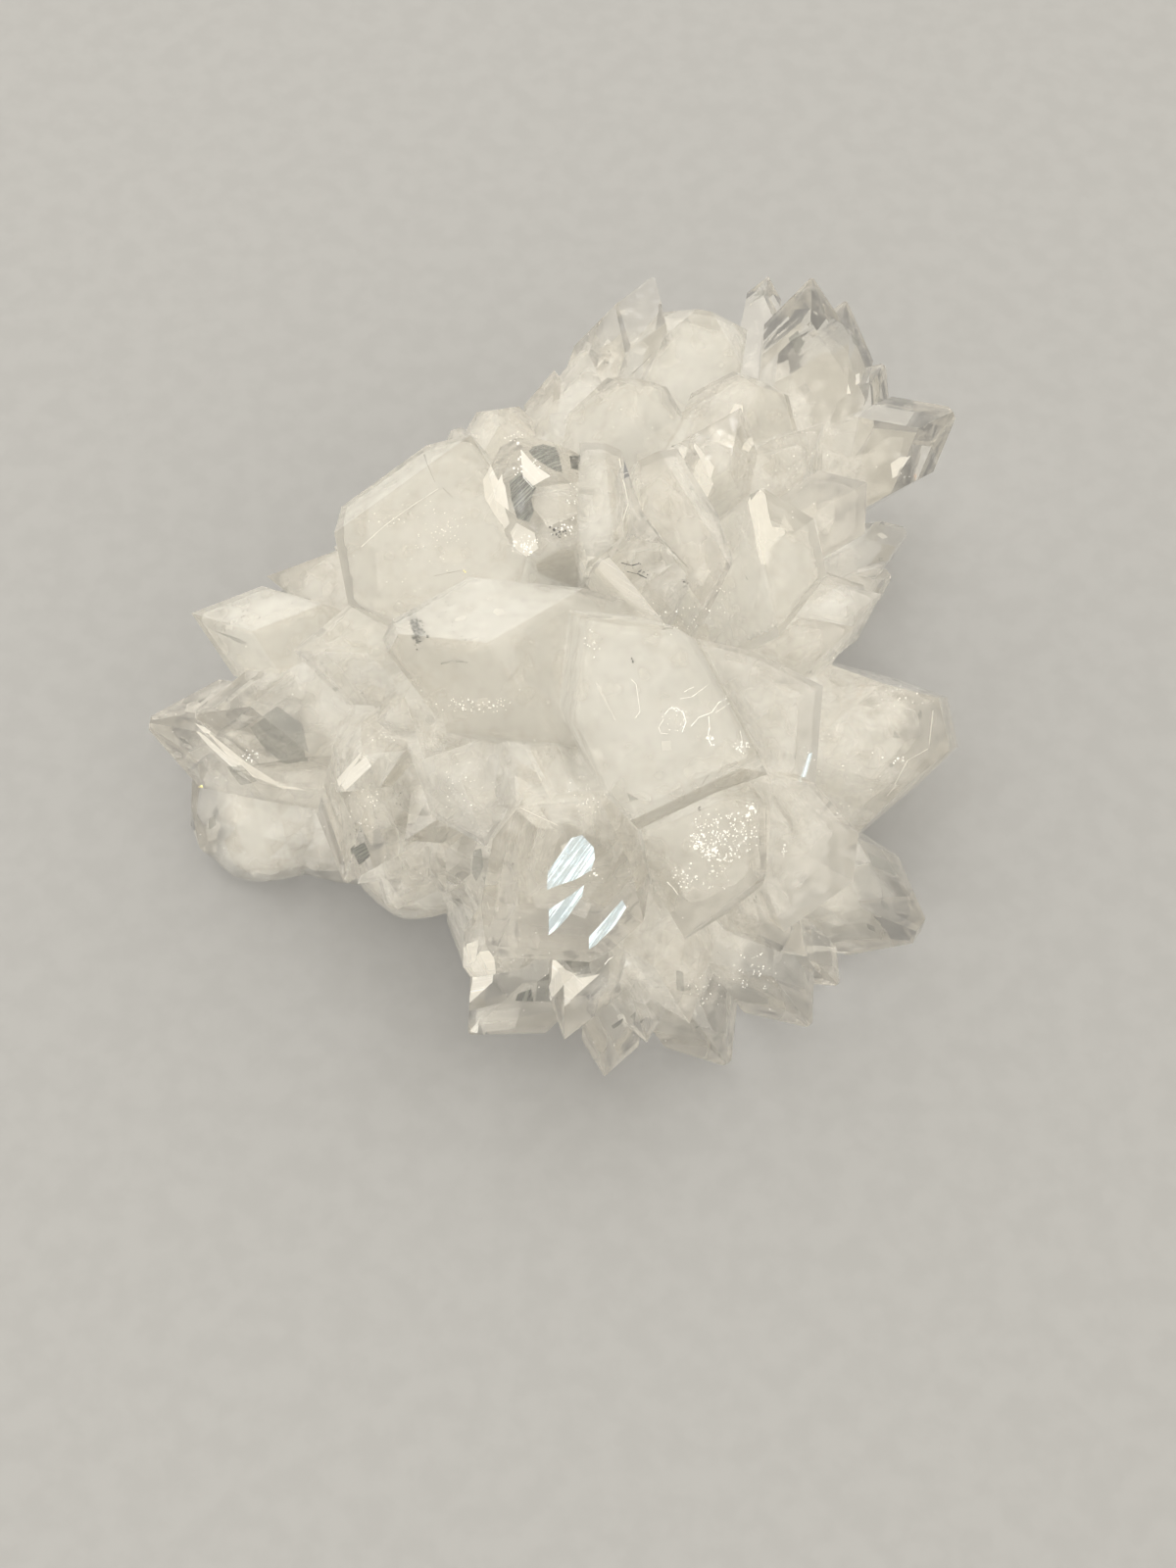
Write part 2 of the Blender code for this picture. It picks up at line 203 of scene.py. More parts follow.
def apply_modifiers(thing: bpy.types.Object) -> None:
    """Applies every modifier of an object, first to last.

    Args:
        thing: the object.
    """
    make_active(thing)
    for modifier in list(thing.modifiers):
        bpy.ops.object.modifier_apply(modifier=modifier.name)


def linked_object(name: str, data: object) -> bpy.types.Object:
    """Makes an object in the scene.

    Args:
        name: the object's name.
        data: its mesh, volume or light.

    Returns:
        The object.
    """
    thing = bpy.data.objects.new(name, data)
    bpy.context.scene.collection.objects.link(thing)
    return thing


def new_material(name: str) -> tuple:
    """Makes a material with a plain shader.

    Args:
        name: the material's name.

    Returns:
        The material, its tree and the shader.
    """
    material = bpy.data.materials.new(name)
    material.use_nodes = True
    return material, material.node_tree, material.node_tree.nodes["Principled BSDF"]


def new_group(name: str, inputs: dict, outputs: tuple) -> bpy.types.NodeTree:
    """Makes an empty shader node group with named sockets.

    Args:
        name: the group's name.
        inputs: socket names, each with its default number.
        outputs: socket names.

    Returns:
        The group, which holds its input and output nodes.
    """
    group = bpy.data.node_groups.new(name, "ShaderNodeTree")
    for socket, value in inputs.items():
        made = group.interface.new_socket(socket, in_out="INPUT", socket_type="NodeSocketFloat")
        made.default_value = value
    for socket in outputs:
        group.interface.new_socket(socket, in_out="OUTPUT", socket_type="NodeSocketFloat")
    group.nodes.new("NodeGroupInput")
    group.nodes.new("NodeGroupOutput")
    return group


def noise(
    tree: bpy.types.NodeTree,
    scale: float,
    detail: float,
    stretch: tuple = (1, 1, 1),
    uv: bool = False,
) -> bpy.types.NodeSocket:
    """Adds a noise pattern on the object's own coordinates or on its face pattern.

    Args:
        tree: the tree to add it to.
        scale: waves in a metre.
        detail: how many finer waves it has.
        stretch: how much tighter it is along each axis.
        uv: whether it follows each face's own axes.

    Returns:
        The socket of its value, which runs from 0 to 1 around 0.5.
    """
    where = tree.nodes.new("ShaderNodeTexCoord")
    mapping = tree.nodes.new("ShaderNodeMapping")
    mapping.inputs["Scale"].default_value = stretch
    pattern = tree.nodes.new("ShaderNodeTexNoise")
    pattern.inputs["Scale"].default_value = scale
    pattern.inputs["Detail"].default_value = detail
    tree.links.new(where.outputs["UV" if uv else "Object"], mapping.inputs["Vector"])
    tree.links.new(mapping.outputs["Vector"], pattern.inputs["Vector"])
    return pattern.outputs["Fac"]


def ranged(
    tree: bpy.types.NodeTree,
    value: bpy.types.NodeSocket,
    low: float,
    high: float,
    to_low: float = 0,
    to_high: float = 1,
) -> bpy.types.NodeSocket:
    """Stretches a value's middle part over a new range, smoothly.

    Args:
        tree: the tree to add it to.
        value: the value.
        low: the value that gives to_low.
        high: the value that gives to_high.
        to_low: the new range's start.
        to_high: the new range's end.

    Returns:
        The new value's socket.
    """
    node = tree.nodes.new("ShaderNodeMapRange")
    node.interpolation_type = "SMOOTHSTEP"
    node.inputs["From Min"].default_value = low
    node.inputs["From Max"].default_value = high
    node.inputs["To Min"].default_value = to_low
    node.inputs["To Max"].default_value = to_high
    tree.links.new(value, node.inputs["Value"])
    return node.outputs["Result"]


def combined(tree: bpy.types.NodeTree, operation: str, *values: object) -> bpy.types.NodeSocket:
    """Joins values by arithmetic.

    Args:
        tree: the tree to add it to.
        operation: the Math node's operation.
        values: sockets or plain numbers.

    Returns:
        The result's socket.
    """
    node = tree.nodes.new("ShaderNodeMath")
    node.operation = operation
    for slot, value in enumerate(values):
        if isinstance(value, bpy.types.NodeSocket):
            tree.links.new(value, node.inputs[slot])
        else:
            node.inputs[slot].default_value = value
    return node.outputs["Value"]


def face_value(tree: bpy.types.NodeTree, name: str) -> bpy.types.NodeSocket:
    """Reads a value that the mesh carries.

    Args:
        tree: the tree to add it to.
        name: the attribute's name.

    Returns:
        The socket of its value.
    """
    reader = tree.nodes.new("ShaderNodeAttribute")
    reader.attribute_name = name
    return reader.outputs["Fac"]


def tinted(
    tree: bpy.types.NodeTree, share: bpy.types.NodeSocket, dull: tuple, bright: tuple
) -> bpy.types.NodeSocket:
    """Mixes two colours.

    Args:
        tree: the tree to add it to.
        share: how much of the bright one there is.
        dull: the colour at 0.
        bright: the colour at 1.

    Returns:
        The mixed colour's socket.
    """
    node = tree.nodes.new("ShaderNodeMix")
    node.data_type = "RGBA"
    node.inputs["A"].default_value = dull
    node.inputs["B"].default_value = bright
    tree.links.new(share, node.inputs["Factor"])
    return next(socket for socket in node.outputs if socket.type == "RGBA")


def bumped(
    tree: bpy.types.NodeTree, height: bpy.types.NodeSocket, shader: bpy.types.Node
) -> None:
    """Raises a shader's surface by a height.

    Args:
        tree: the tree to add it to.
        height: the height, in millimetres.
        shader: the shader.
    """
    bump = tree.nodes.new("ShaderNodeBump")
    bump.inputs["Strength"].default_value = 1
    bump.inputs["Distance"].default_value = MM
    tree.links.new(height, bump.inputs["Height"])
    tree.links.new(bump.outputs["Normal"], shader.inputs["Normal"])


def growth_lines() -> bpy.types.NodeTree:
    """The group of growth lines, steps and frosting that crystal faces carry.

    Returns:
        The group. Height is in millimetres, and Frost runs from 0 to 1.
    """
    name = "growth_lines"
    if name in bpy.data.node_groups:
        return bpy.data.node_groups[name]
    group = new_group(name, {"Lines": 1, "Ripple": 1}, ("Height", "Frost"))
    given = group.nodes["Group Input"]
    out = group.nodes["Group Output"]
    lines = noise(group, 1, 0, LINE_GRAIN, uv=True)
    patches = noise(group, 110, 0)
    lines = combined(group, "MULTIPLY", lines, ranged(group, patches, 0.4, 0.6))
    lines = combined(group, "MULTIPLY", lines, given.outputs["Lines"])
    ripple = combined(group, "MULTIPLY", patches, given.outputs["Ripple"])
    ripple = combined(group, "MULTIPLY", ripple, RIPPLE_HEIGHT)
    height = combined(group, "MULTIPLY_ADD", lines, LINE_HEIGHT, ripple)
    group.links.new(height, out.inputs["Height"])
    frost = noise(group, 600, 1)
    group.links.new(ranged(group, frost, 0.5, 0.66), out.inputs["Frost"])
    return group


def silky_streaks() -> bpy.types.NodeTree:
    """The group of fine streaks that inner faces and cracks carry, along their grain.

    Returns:
        The group. Streaks and Flaws run from 0 to 1.
    """
    name = "silky_streaks"
    if name in bpy.data.node_groups:
        return bpy.data.node_groups[name]
    group = new_group(name, {"Fineness": 1}, ("Streaks", "Flaws"))
    given = group.nodes["Group Input"]
    out = group.nodes["Group Output"]
    streaks = noise(group, 1, 2, STREAK_GRAIN, uv=True)
    finer = noise(group, 1, 1, FINE_STREAK_GRAIN, uv=True)
    streaks = combined(group, "MULTIPLY_ADD", finer, given.outputs["Fineness"], streaks)
    group.links.new(ranged(group, streaks, 0.75, 1.25), out.inputs["Streaks"])
    group.links.new(ranged(group, noise(group, 900, 4), 0.42, 0.58), out.inputs["Flaws"])
    return group


@dataclass(frozen=True)
class CrystalFinish:
    """The finish of crystal faces and of the crystal behind them."""

    name: str
    transmission: float
    dull: tuple  # colour of the duller faces
    bright: tuple  # colour of the brighter faces
    smooth: float = 0.02  # roughness
    frosted: float = 0.12  # roughness where it is frosted
    lines: float = 1
    ripple: float = 1
    ior: float = 1.535
    absorption_colour: tuple = (0.96, 0.93, 0.85, 1)
    absorption_density: float = 40
    glow: float = 0.03  # painted glow: light the faces give out themselves, standing for light scattered many times inside

    def material(self) -> bpy.types.Material:
        """Builds the material.

        Returns:
            The material.
        """
        material, tree, shader = new_material(self.name)
        shader.inputs["Metallic"].default_value = 0
        shader.inputs["IOR"].default_value = self.ior
        shader.inputs["Transmission Weight"].default_value = self.transmission
        growth = tree.nodes.new("ShaderNodeGroup")
        growth.node_tree = growth_lines()
        growth.inputs["Lines"].default_value = self.lines
        growth.inputs["Ripple"].default_value = self.ripple
        tone = tinted(tree, face_value(tree, "tone"), self.dull, self.bright)
        tree.links.new(tone, shader.inputs["Base Color"])
        shader.inputs["Emission Color"].default_value = self.bright
        shader.inputs["Emission Strength"].default_value = self.glow
        rough = ranged(tree, growth.outputs["Frost"], 0, 1, self.smooth, self.frosted)
        tree.links.new(rough, shader.inputs["Roughness"])
        bumped(tree, growth.outputs["Height"], shader)
        absorb = tree.nodes.new("ShaderNodeVolumeAbsorption")
        absorb.inputs["Color"].default_value = self.absorption_colour
        absorb.inputs["Density"].default_value = self.absorption_density
        output = tree.nodes["Material Output"]
        tree.links.new(absorb.outputs["Volume"], output.inputs["Volume"])
        return material


class Clarity(Enum):
    """How clear a crystal is, with its finish."""

    MILKY = CrystalFinish("milky_crystal", 0.82, (0.79, 0.76, 0.69, 1), (1, 0.99, 0.95, 1))
    HAZY = CrystalFinish("hazy_crystal", 0.86, (0.83, 0.8, 0.74, 1), (1, 0.99, 0.96, 1))
    CLEAR = CrystalFinish(
        "clear_crystal", 0.94, (0.94, 0.92, 0.88, 1), (1, 0.99, 0.97, 1), ripple=0.5
    )
    # the worn edges' finish: whiter, less clear and glowing, a painted highlight along every edge
    EDGE = CrystalFinish(
        "crystal_edges", 0.25, (0.98, 0.96, 0.91, 1), (1, 0.99, 0.96, 1), 0.25, 0.4, 0, glow=0.12
    )


@dataclass(frozen=True)
class CloudFinish:
    """The finish of a cloud of fine inclusions, denser in some places than others."""

    name: str
    least: float  # cover where the crystal is clear
    most: float  # cover where it is milky
    dull: tuple = (0.89, 0.855, 0.775, 1)
    bright: tuple = (0.97, 0.94, 0.87, 1)
    patch: float = 2.8 * MM
    glow: float = 0.1  # painted glow: light it gives out itself, whichever way it faces, standing for light scattered in its depth
    wispiness: float = 1.2  # how much the wisps add to the milkiness
    thin: float = 0.75  # milkiness and wisps together where its cover is least
    thick: float = 1.75  # and where it is most

    def material(self) -> bpy.types.Material:
        """Builds the material.

        Returns:
            The material.
        """
        material, tree, shader = new_material(self.name)
        shader.inputs["Roughness"].default_value = 1
        shader.inputs["Specular IOR Level"].default_value = 0
        wisps = noise(tree, 1 / self.patch, 1)
        shade = tinted(tree, ranged(tree, wisps, *NOISE_SPREAD), self.dull, self.bright)
        tree.links.new(shade, shader.inputs["Base Color"])
        tree.links.new(shade, shader.inputs["Emission Color"])
        shader.inputs["Emission Strength"].default_value = self.glow
        if self.least < 1:
            amount = combined(
                tree, "MULTIPLY_ADD", wisps, self.wispiness, face_value(tree, "milkiness")
            )
            cover = ranged(tree, amount, self.thin, self.thick, self.least, self.most)
            tree.links.new(cover, shader.inputs["Alpha"])
        return material


@dataclass(frozen=True)
class MarkFinish:
    """The finish of what lies inside the crystal: glints, cracks and specks."""

    name: str
    dull: tuple
    bright: tuple
    least: float = 1  # cover between the streaks
    most: float = 1  # cover in them
    rough: float = 0.3
    metallic: float = 0
    fineness: float = 0.5
    glow: float = 0  # painted highlight: light it gives out itself, standing for light it throws back more than a dull face would
    flaw_rough: float = 0.2  # how much rougher its flaws are
    flaw_cover: float = 0.3  # how much its flaws add to its streaks
    thin: float = 0.2  # streaks and flaws together where its cover is least
    thick: float = 0.9  # and where it is most

    def material(self) -> bpy.types.Material:
        """Builds the material.

        Returns:
            The material.
        """
        material, tree, shader = new_material(self.name)
        shader.inputs["Metallic"].default_value = self.metallic
        streaks = tree.nodes.new("ShaderNodeGroup")
        streaks.node_tree = silky_streaks()
        streaks.inputs["Fineness"].default_value = self.fineness
        shade = tinted(tree, streaks.outputs["Streaks"], self.dull, self.bright)
        tree.links.new(shade, shader.inputs["Base Color"])
        tree.links.new(shade, shader.inputs["Emission Color"])
        shader.inputs["Emission Strength"].default_value = self.glow
        rougher = self.rough + self.flaw_rough
        rough = ranged(tree, streaks.outputs["Flaws"], 0, 1, self.rough, rougher)
        tree.links.new(rough, shader.inputs["Roughness"])
        if self.least < 1:
            flaws = streaks.outputs["Flaws"]
            waves = streaks.outputs["Streaks"]
            mask = combined(tree, "MULTIPLY_ADD", flaws, self.flaw_cover, waves)
            cover = ranged(tree, mask, self.thin, self.thick, self.least, self.most)
            tree.links.new(cover, shader.inputs["Alpha"])
        material.cycles.emission_sampling = "NONE"  # it is too faint to light anything
        return material


class Mark(Enum):
    """What lies inside the crystal, with its finish; several finishes glow, as painted highlights and
    reflections.
    """

    # inner faces whose whiteness and glow are a painted highlight
    BRIGHT = MarkFinish(
        "bright_faces", (0.86, 0.82, 0.73, 1), (1, 0.98, 0.93, 1), 0.7, glow=0.42
    )
    # whitish veils and healed cracks, partly their own pale colour and partly a painted glow
    PALE = MarkFinish(
        "pale_faces", (0.84, 0.8, 0.71, 1), (0.99, 0.96, 0.89, 1), 0.2, 0.75, glow=0.22
    )
    SKY = MarkFinish(
        "sky_reflections", (0.5, 0.6, 0.64, 1), (0.93, 1, 1, 1), 0.3, fineness=0.8, glow=0.8
    )
    SILVER = MarkFinish(
        "silver_cracks", (0.1, 0.1, 0.085, 1), (0.55, 0.55, 0.48, 1), 0.5, 1, 0.35, 0.3, 0.9
    )
    SHADE = MarkFinish("clear_shadows", (0.26, 0.26, 0.22, 1), (0.55, 0.54, 0.46, 1), 0.25, 0.65)
    SPECK = MarkFinish("dark_specks", (0.07, 0.07, 0.06, 1), (0.26, 0.25, 0.21, 1))
    GOLD = MarkFinish("gold_glint", (0.95, 0.85, 0.3, 1), (1, 0.97, 0.6, 1), glow=0.8)
    SPARKLE = MarkFinish(
        "sparkles", (0.97, 0.95, 0.9, 1), (1, 1, 1, 1), rough=0.12, metallic=0.5, glow=0.7
    )


@dataclass(frozen=True)
class InnerFace:
    """A flat crack or inner face, many of them carrying a painted highlight, reflection or shade."""

    mark: Mark
    corners: tuple  # columns and rows
    grain: tuple = ()  # two spots along its streaks; its first edge where it is empty
    depth: float = 0.12 * MM


@dataclass(frozen=True)
class Thread:
    """A thin bright or dark line inside the crystal: a healed crack seen edge on; where its mark
    glows, the brightness is a painted highlight.
    """

    mark: Mark
    spots: tuple
    thick: float = 0.09 * MM
    depth: float = 0.15 * MM


@dataclass(frozen=True)
class Swarm:
    """Many flecks together."""

    mark: Mark
    centre: tuple
    radii: tuple  # pixels
    count: int
    size: float = 0.35 * MM
    deepest: float = 0.5 * MM


@dataclass(frozen=True)
class Scatter:
    """Flecks or small inner faces strewn under the whole surface."""

    mark: Mark
    count: int
    size: float
    deepest: float
    flat: bool = False  # whether they are thin and lie along the crystal's faces


class Marks:
    """Everything that lies inside the crystals, most of it place by place."""

    BRIGHT, PALE, SKY, SILVER, SHADE, SPECK, GOLD, SPARKLE = Mark

    EVERYWHERE = (
        Scatter(SPARKLE, 700, 0.24 * MM, 1.2 * MM),
        Scatter(SPECK, 160, 0.2 * MM, 0.8 * MM),
        Scatter(PALE, 170, 3.2 * MM, 1.5 * MM, flat=True),
        Scatter(SHADE, 60, 2.4 * MM, 1.2 * MM, flat=True),
    )

    EYE_CRYSTAL = (
        InnerFace(SILVER, ((540, 461), (554, 454), (567, 457), (573, 484), (560, 478), (544, 467))),
        InnerFace(
            SILVER,
            ((520, 492), (530, 482), (542, 490), (547, 498), (542, 510), (545, 522), (540, 533),
             (528, 529), (522, 510)),
        ),
        InnerFace(SILVER, ((581, 465), (591, 465), (590, 480), (583, 478))),
        InnerFace(
            BRIGHT,
            ((532, 459), (546, 475), (562, 486), (554, 490), (544, 496), (534, 486), (532, 469)),
        ),
        InnerFace(
            BRIGHT,
            ((493, 490), (505, 471), (520, 498), (526, 531), (517, 541), (505, 526), (495, 508)),
            depth=0.4 * MM,
        ),
        InnerFace(
            BRIGHT,
            ((522, 543), (528, 533), (546, 543), (550, 559), (538, 567), (528, 561)),
            depth=0.4 * MM,
        ),
        InnerFace(PALE, ((548, 500), (590, 492), (588, 525), (560, 540), (546, 520))),
        Swarm(SPARKLE, (536, 556), (16, 11), 46, 0.4 * MM),
        Swarm(SPARKLE, (540, 478), (16, 14), 26),
        Swarm(SPECK, (566, 544), (15, 6), 16, 0.4 * MM),
        Swarm(SPARKLE, (572, 541), (17, 8), 18),
        Swarm(SPARKLE, (584, 512), (6, 22), 10),
        Swarm(SPARKLE, (528, 448), (14, 8), 14),
        Thread(SPARKLE, ((532, 459), (534, 487), (544, 498))),
    )
    BIG_LEFT_FACE = (
        Thread(SPARKLE, ((369, 558), (392, 537), (415, 520), (447, 499)), 0.07 * MM),
        Thread(SHADE, ((433, 464), (438, 478), (444, 492)), 0.2 * MM),
        Thread(SPECK, ((452, 498), (458, 504), (462, 508))),
        Swarm(SPARKLE, (452, 542), (26, 24), 46, 0.22 * MM),
        Swarm(SPARKLE, (405, 530), (36, 8), 12, 0.2 * MM),
        Swarm(SPARKLE, (430, 560), (80, 60), 60, 0.16 * MM),
        Thread(SPECK, ((443, 588), (456, 585), (472, 582)), 0.07 * MM),
        Swarm(GOLD, (474, 583), (2, 2), 2, 0.3 * MM),
    )
    LEFT_CRYSTALS = (
        InnerFace(SILVER, ((417, 630), (425, 632), (428, 642), (435, 651), (427, 656), (420, 645))),
        Swarm(SILVER, (425, 641), (7, 12), 46, 0.5 * MM, 0.1 * MM),
        Swarm(SPECK, (428, 650), (9, 14), 18, 0.3 * MM, 0.2 * MM),
        Swarm(SPECK, (458, 622), (12, 20), 22, 0.18 * MM),
        Swarm(SPECK, (473, 645), (12, 14), 18, 0.18 * MM),
        Thread(SHADE, ((450, 677), (465, 674), (477, 676)), 0.35 * MM),
        Swarm(SPECK, (248, 625), (20, 14), 30, 0.22 * MM),
        Swarm(SPECK, (224, 622), (4, 7), 6, 0.22 * MM),
        InnerFace(SHADE, ((268, 592), (296, 598), (319, 611), (312, 614), (285, 604))),
        InnerFace(SHADE, ((218, 643), (240, 650), (253, 656), (246, 657))),
        Thread(PALE, ((390, 653), (404, 678), (443, 712)), 0.2 * MM),
        Swarm(SPARKLE, (488, 719), (46, 9), 60, 0.3 * MM),
        Thread(PALE, ((361, 742), (392, 750), (422, 757)), 0.25 * MM),
        Swarm(SPARKLE, (395, 752), (30, 5), 14, 0.25 * MM),
        InnerFace(PALE, ((436, 772), (470, 760), (497, 742), (484, 758), (452, 771))),
        InnerFace(
            SHADE,
            ((258, 739), (283, 721), (308, 739), (315, 774), (294, 778), (269, 756)),
            depth=0.6 * MM,
        ),
        InnerFace(
            BRIGHT,
            ((199, 738), (217, 749), (254, 778), (283, 796), (315, 806), (290, 803), (250, 787),
             (215, 757)),
        ),
        InnerFace(PALE, ((196, 724), (217, 708), (226, 716), (221, 738), (205, 736))),
        Swarm(SPARKLE, (256, 770), (8, 7), 16, 0.35 * MM),
        Swarm(SPECK, (232, 712), (3, 6), 4, 0.25 * MM),
        Swarm(SPECK, (290, 750), (22, 18), 14, 0.2 * MM),
        InnerFace(SHADE, ((233, 781), (247, 781), (262, 797), (247, 800))),
        Swarm(GOLD, (205, 802), (2, 2), 3, 0.5 * MM),
        InnerFace(
            BRIGHT, ((344, 796), (372, 771), (378, 781), (351, 806)), ((344, 800), (375, 776))
        ),
        InnerFace(SILVER, ((358, 866), (371, 858), (377, 872), (366, 882))),
        Swarm(SPECK, (367, 848), (12, 10), 16, 0.25 * MM),
        Swarm(SPECK, (404, 815), (8, 8), 8, 0.22 * MM),
        Swarm(SPARKLE, (380, 820), (28, 26), 26, 0.22 * MM),
    )
    UPPER_CRYSTALS = (
        InnerFace(
            BRIGHT,
            ((750, 412), (758, 414), (758, 450), (752, 460), (739, 456), (731, 456), (736, 444),
             (745, 422)),
            ((745, 414), (738, 455)),
        ),
        InnerFace(
            BRIGHT,
            ((709, 452), (716, 460), (730, 477), (726, 488), (720, 511), (709, 500), (700, 488),
             (701, 473)),
            ((712, 456), (720, 508)),
        ),
        InnerFace(
            BRIGHT,
            ((776, 499), (780, 506), (784, 529), (787, 538), (799, 540), (800, 545), (785, 561),
             (783, 577), (778, 576), (774, 567), (770, 538), (764, 513), (771, 504)),
            ((772, 502), (780, 575)),
        ),
        InnerFace(SHADE, ((685, 455), (705, 452), (703, 467), (693, 478), (687, 469))),
        InnerFace(
            BRIGHT,
            ((590, 575), (597, 571), (622, 569), (632, 580), (656, 608), (681, 638), (654, 636),
             (632, 622), (603, 591)),
            ((595, 574), (675, 636)),
        ),
        Thread(SPECK, ((634, 574), (645, 577), (652, 575)), 0.25 * MM),
        Thread(SPECK, ((640, 583), (652, 586), (660, 590)), 0.22 * MM),
        Swarm(SPECK, (652, 583), (9, 9), 12, 0.3 * MM),
        Thread(BRIGHT, ((632, 468), (636, 490), (641, 514), (634, 533)), 0.16 * MM),
        Thread(SHADE, ((660, 531), (675, 551), (703, 580)), 0.3 * MM),
        Swarm(SPECK, (699, 596), (5, 9), 10, 0.25 * MM),
        InnerFace(BRIGHT, ((908, 473), (917, 467), (929, 465), (917, 479), (915, 485), (910, 488))),
        InnerFace(BRIGHT, ((858, 380), (862, 380), (868, 402), (863, 402)), ((860, 380), (866, 402))),
        InnerFace(BRIGHT, ((872, 383), (876, 381), (876, 391), (873, 393))),
        InnerFace(SHADE, ((888, 404), (934, 419), (925, 420), (890, 410))),
        InnerFace(SHADE, ((805, 345), (815, 338), (820, 352), (812, 362))),
        InnerFace(SHADE, ((868, 340), (876, 346), (877, 355), (870, 350))),
        Swarm(SPECK, (619, 364), (5, 9), 8, 0.3 * MM),
        Thread(SHADE, ((645, 381), (656, 371), (664, 362)), 0.3 * MM),
        InnerFace(SHADE, ((478, 414), (530, 417), (528, 427), (476, 425))),
        Swarm(SPARKLE, (800, 480), (60, 60), 40, 0.18 * MM),
        Swarm(SPARKLE, (700, 630), (34, 12), 26, 0.28 * MM),
        Swarm(SPARKLE, (740, 620), (18, 22), 16, 0.2 * MM),
        Swarm(SPARKLE, (640, 420), (60, 30), 24, 0.16 * MM),
    )
    MIDDLE_CRYSTALS = (
        Thread(SPARKLE, ((644, 693), (649, 698), (651, 712), (653, 726), (648, 733))),
        Swarm(SPARKLE, (688, 733), (14, 14), 26, 0.24 * MM),
        Thread(
            SPARKLE,
            ((678, 729), (683, 723), (690, 722), (697, 727), (700, 736), (696, 747)),
            0.14 * MM,
        ),
        Thread(SPARKLE, ((677, 734), (672, 742), (674, 748), (682, 749))),
        Thread(SPARKLE, ((698, 706), (703, 703), (708, 701))),
        Thread(SPARKLE, ((694, 713), (706, 711), (714, 705), (722, 699))),
        Thread(SPARKLE, ((705, 741), (713, 732), (726, 727), (733, 717), (741, 710)), 0.15 * MM),
        Thread(SPARKLE, ((730, 727), (738, 722), (742, 713))),
        Thread(SPARKLE, ((723, 731), (724, 742), (722, 752), (726, 761)), 0.14 * MM),
        Swarm(SPARKLE, (726, 757), (6, 8), 14, 0.35 * MM),
        Swarm(SPARKLE, (758, 762), (11, 7), 22, 0.32 * MM),
        Thread(SPARKLE, ((755, 746), (757, 756), (756, 764))),
        Thread(PALE, ((722, 665), (738, 700), (760, 740), (790, 800)), 0.12 * MM),
        Thread(BRIGHT, ((955, 690), (952, 725), (948, 760)), 0.14 * MM),
        Thread(BRIGHT, ((947, 764), (926, 776), (905, 812), (886, 846)), 0.12 * MM),
        Swarm(SPARKLE, (920, 710), (34, 16), 26, 0.2 * MM),
        Thread(PALE, ((780, 826), (781, 862), (780, 904)), 0.16 * MM),
        Thread(BRIGHT, ((531, 824), (550, 833), (569, 842)), 0.14 * MM),
        Thread(PALE, ((548, 767), (559, 790), (569, 814)), 0.14 * MM),
        Thread(PALE, ((590, 660), (610, 700), (628, 735)), 0.3 * MM),
        Swarm(SPARKLE, (606, 656), (10, 16), 16, 0.24 * MM),
        Swarm(SPECK, (645, 673), (2, 3), 4, 0.35 * MM),
        Thread(SPECK, ((723, 791), (719, 796), (716, 801)), 0.07 * MM),
        Swarm(SPECK, (714, 826), (1.5, 1.5), 2, 0.4 * MM),
        Swarm(SPARKLE, (738, 852), (36, 28), 210, 0.34 * MM),
        Swarm(SPARKLE, (763, 829), (8, 8), 22, 0.45 * MM),
        Swarm(SPARKLE, (710, 857), (10, 9), 22, 0.42 * MM),
        Swarm(SPARKLE, (730, 872), (16, 9), 30, 0.45 * MM),
        Swarm(SPARKLE, (700, 892), (15, 14), 34, 0.34 * MM),
        Swarm(SPARKLE, (730, 895), (14, 16), 20, 0.26 * MM),
        Swarm(SPARKLE, (800, 868), (4, 8), 8, 0.3 * MM),
        Thread(SPARKLE, ((681, 900), (687, 906), (692, 913)), 0.14 * MM),
        Swarm(SPECK, (775, 915), (12, 9), 16, 0.3 * MM),
        InnerFace(SKY, ((825, 769), (829, 768), (822, 793), (817, 793)), ((825, 769), (818, 793))),
        Swarm(SPARKLE, (912, 775), (14, 4), 8, 0.4 * MM),
        Swarm(SPARKLE, (600, 810), (22, 22), 40, 0.22 * MM),
        Swarm(SPARKLE, (480, 805), (36, 28), 34, 0.2 * MM),
        InnerFace(PALE, ((536, 765), (547, 767), (569, 813), (563, 820)), ((540, 766), (566, 817))),
        InnerFace(PALE, ((525, 790), (540, 800), (566, 843), (548, 840), (527, 820))),
        InnerFace(PALE, ((452, 840), (470, 840), (516, 820), (500, 858))),
    )
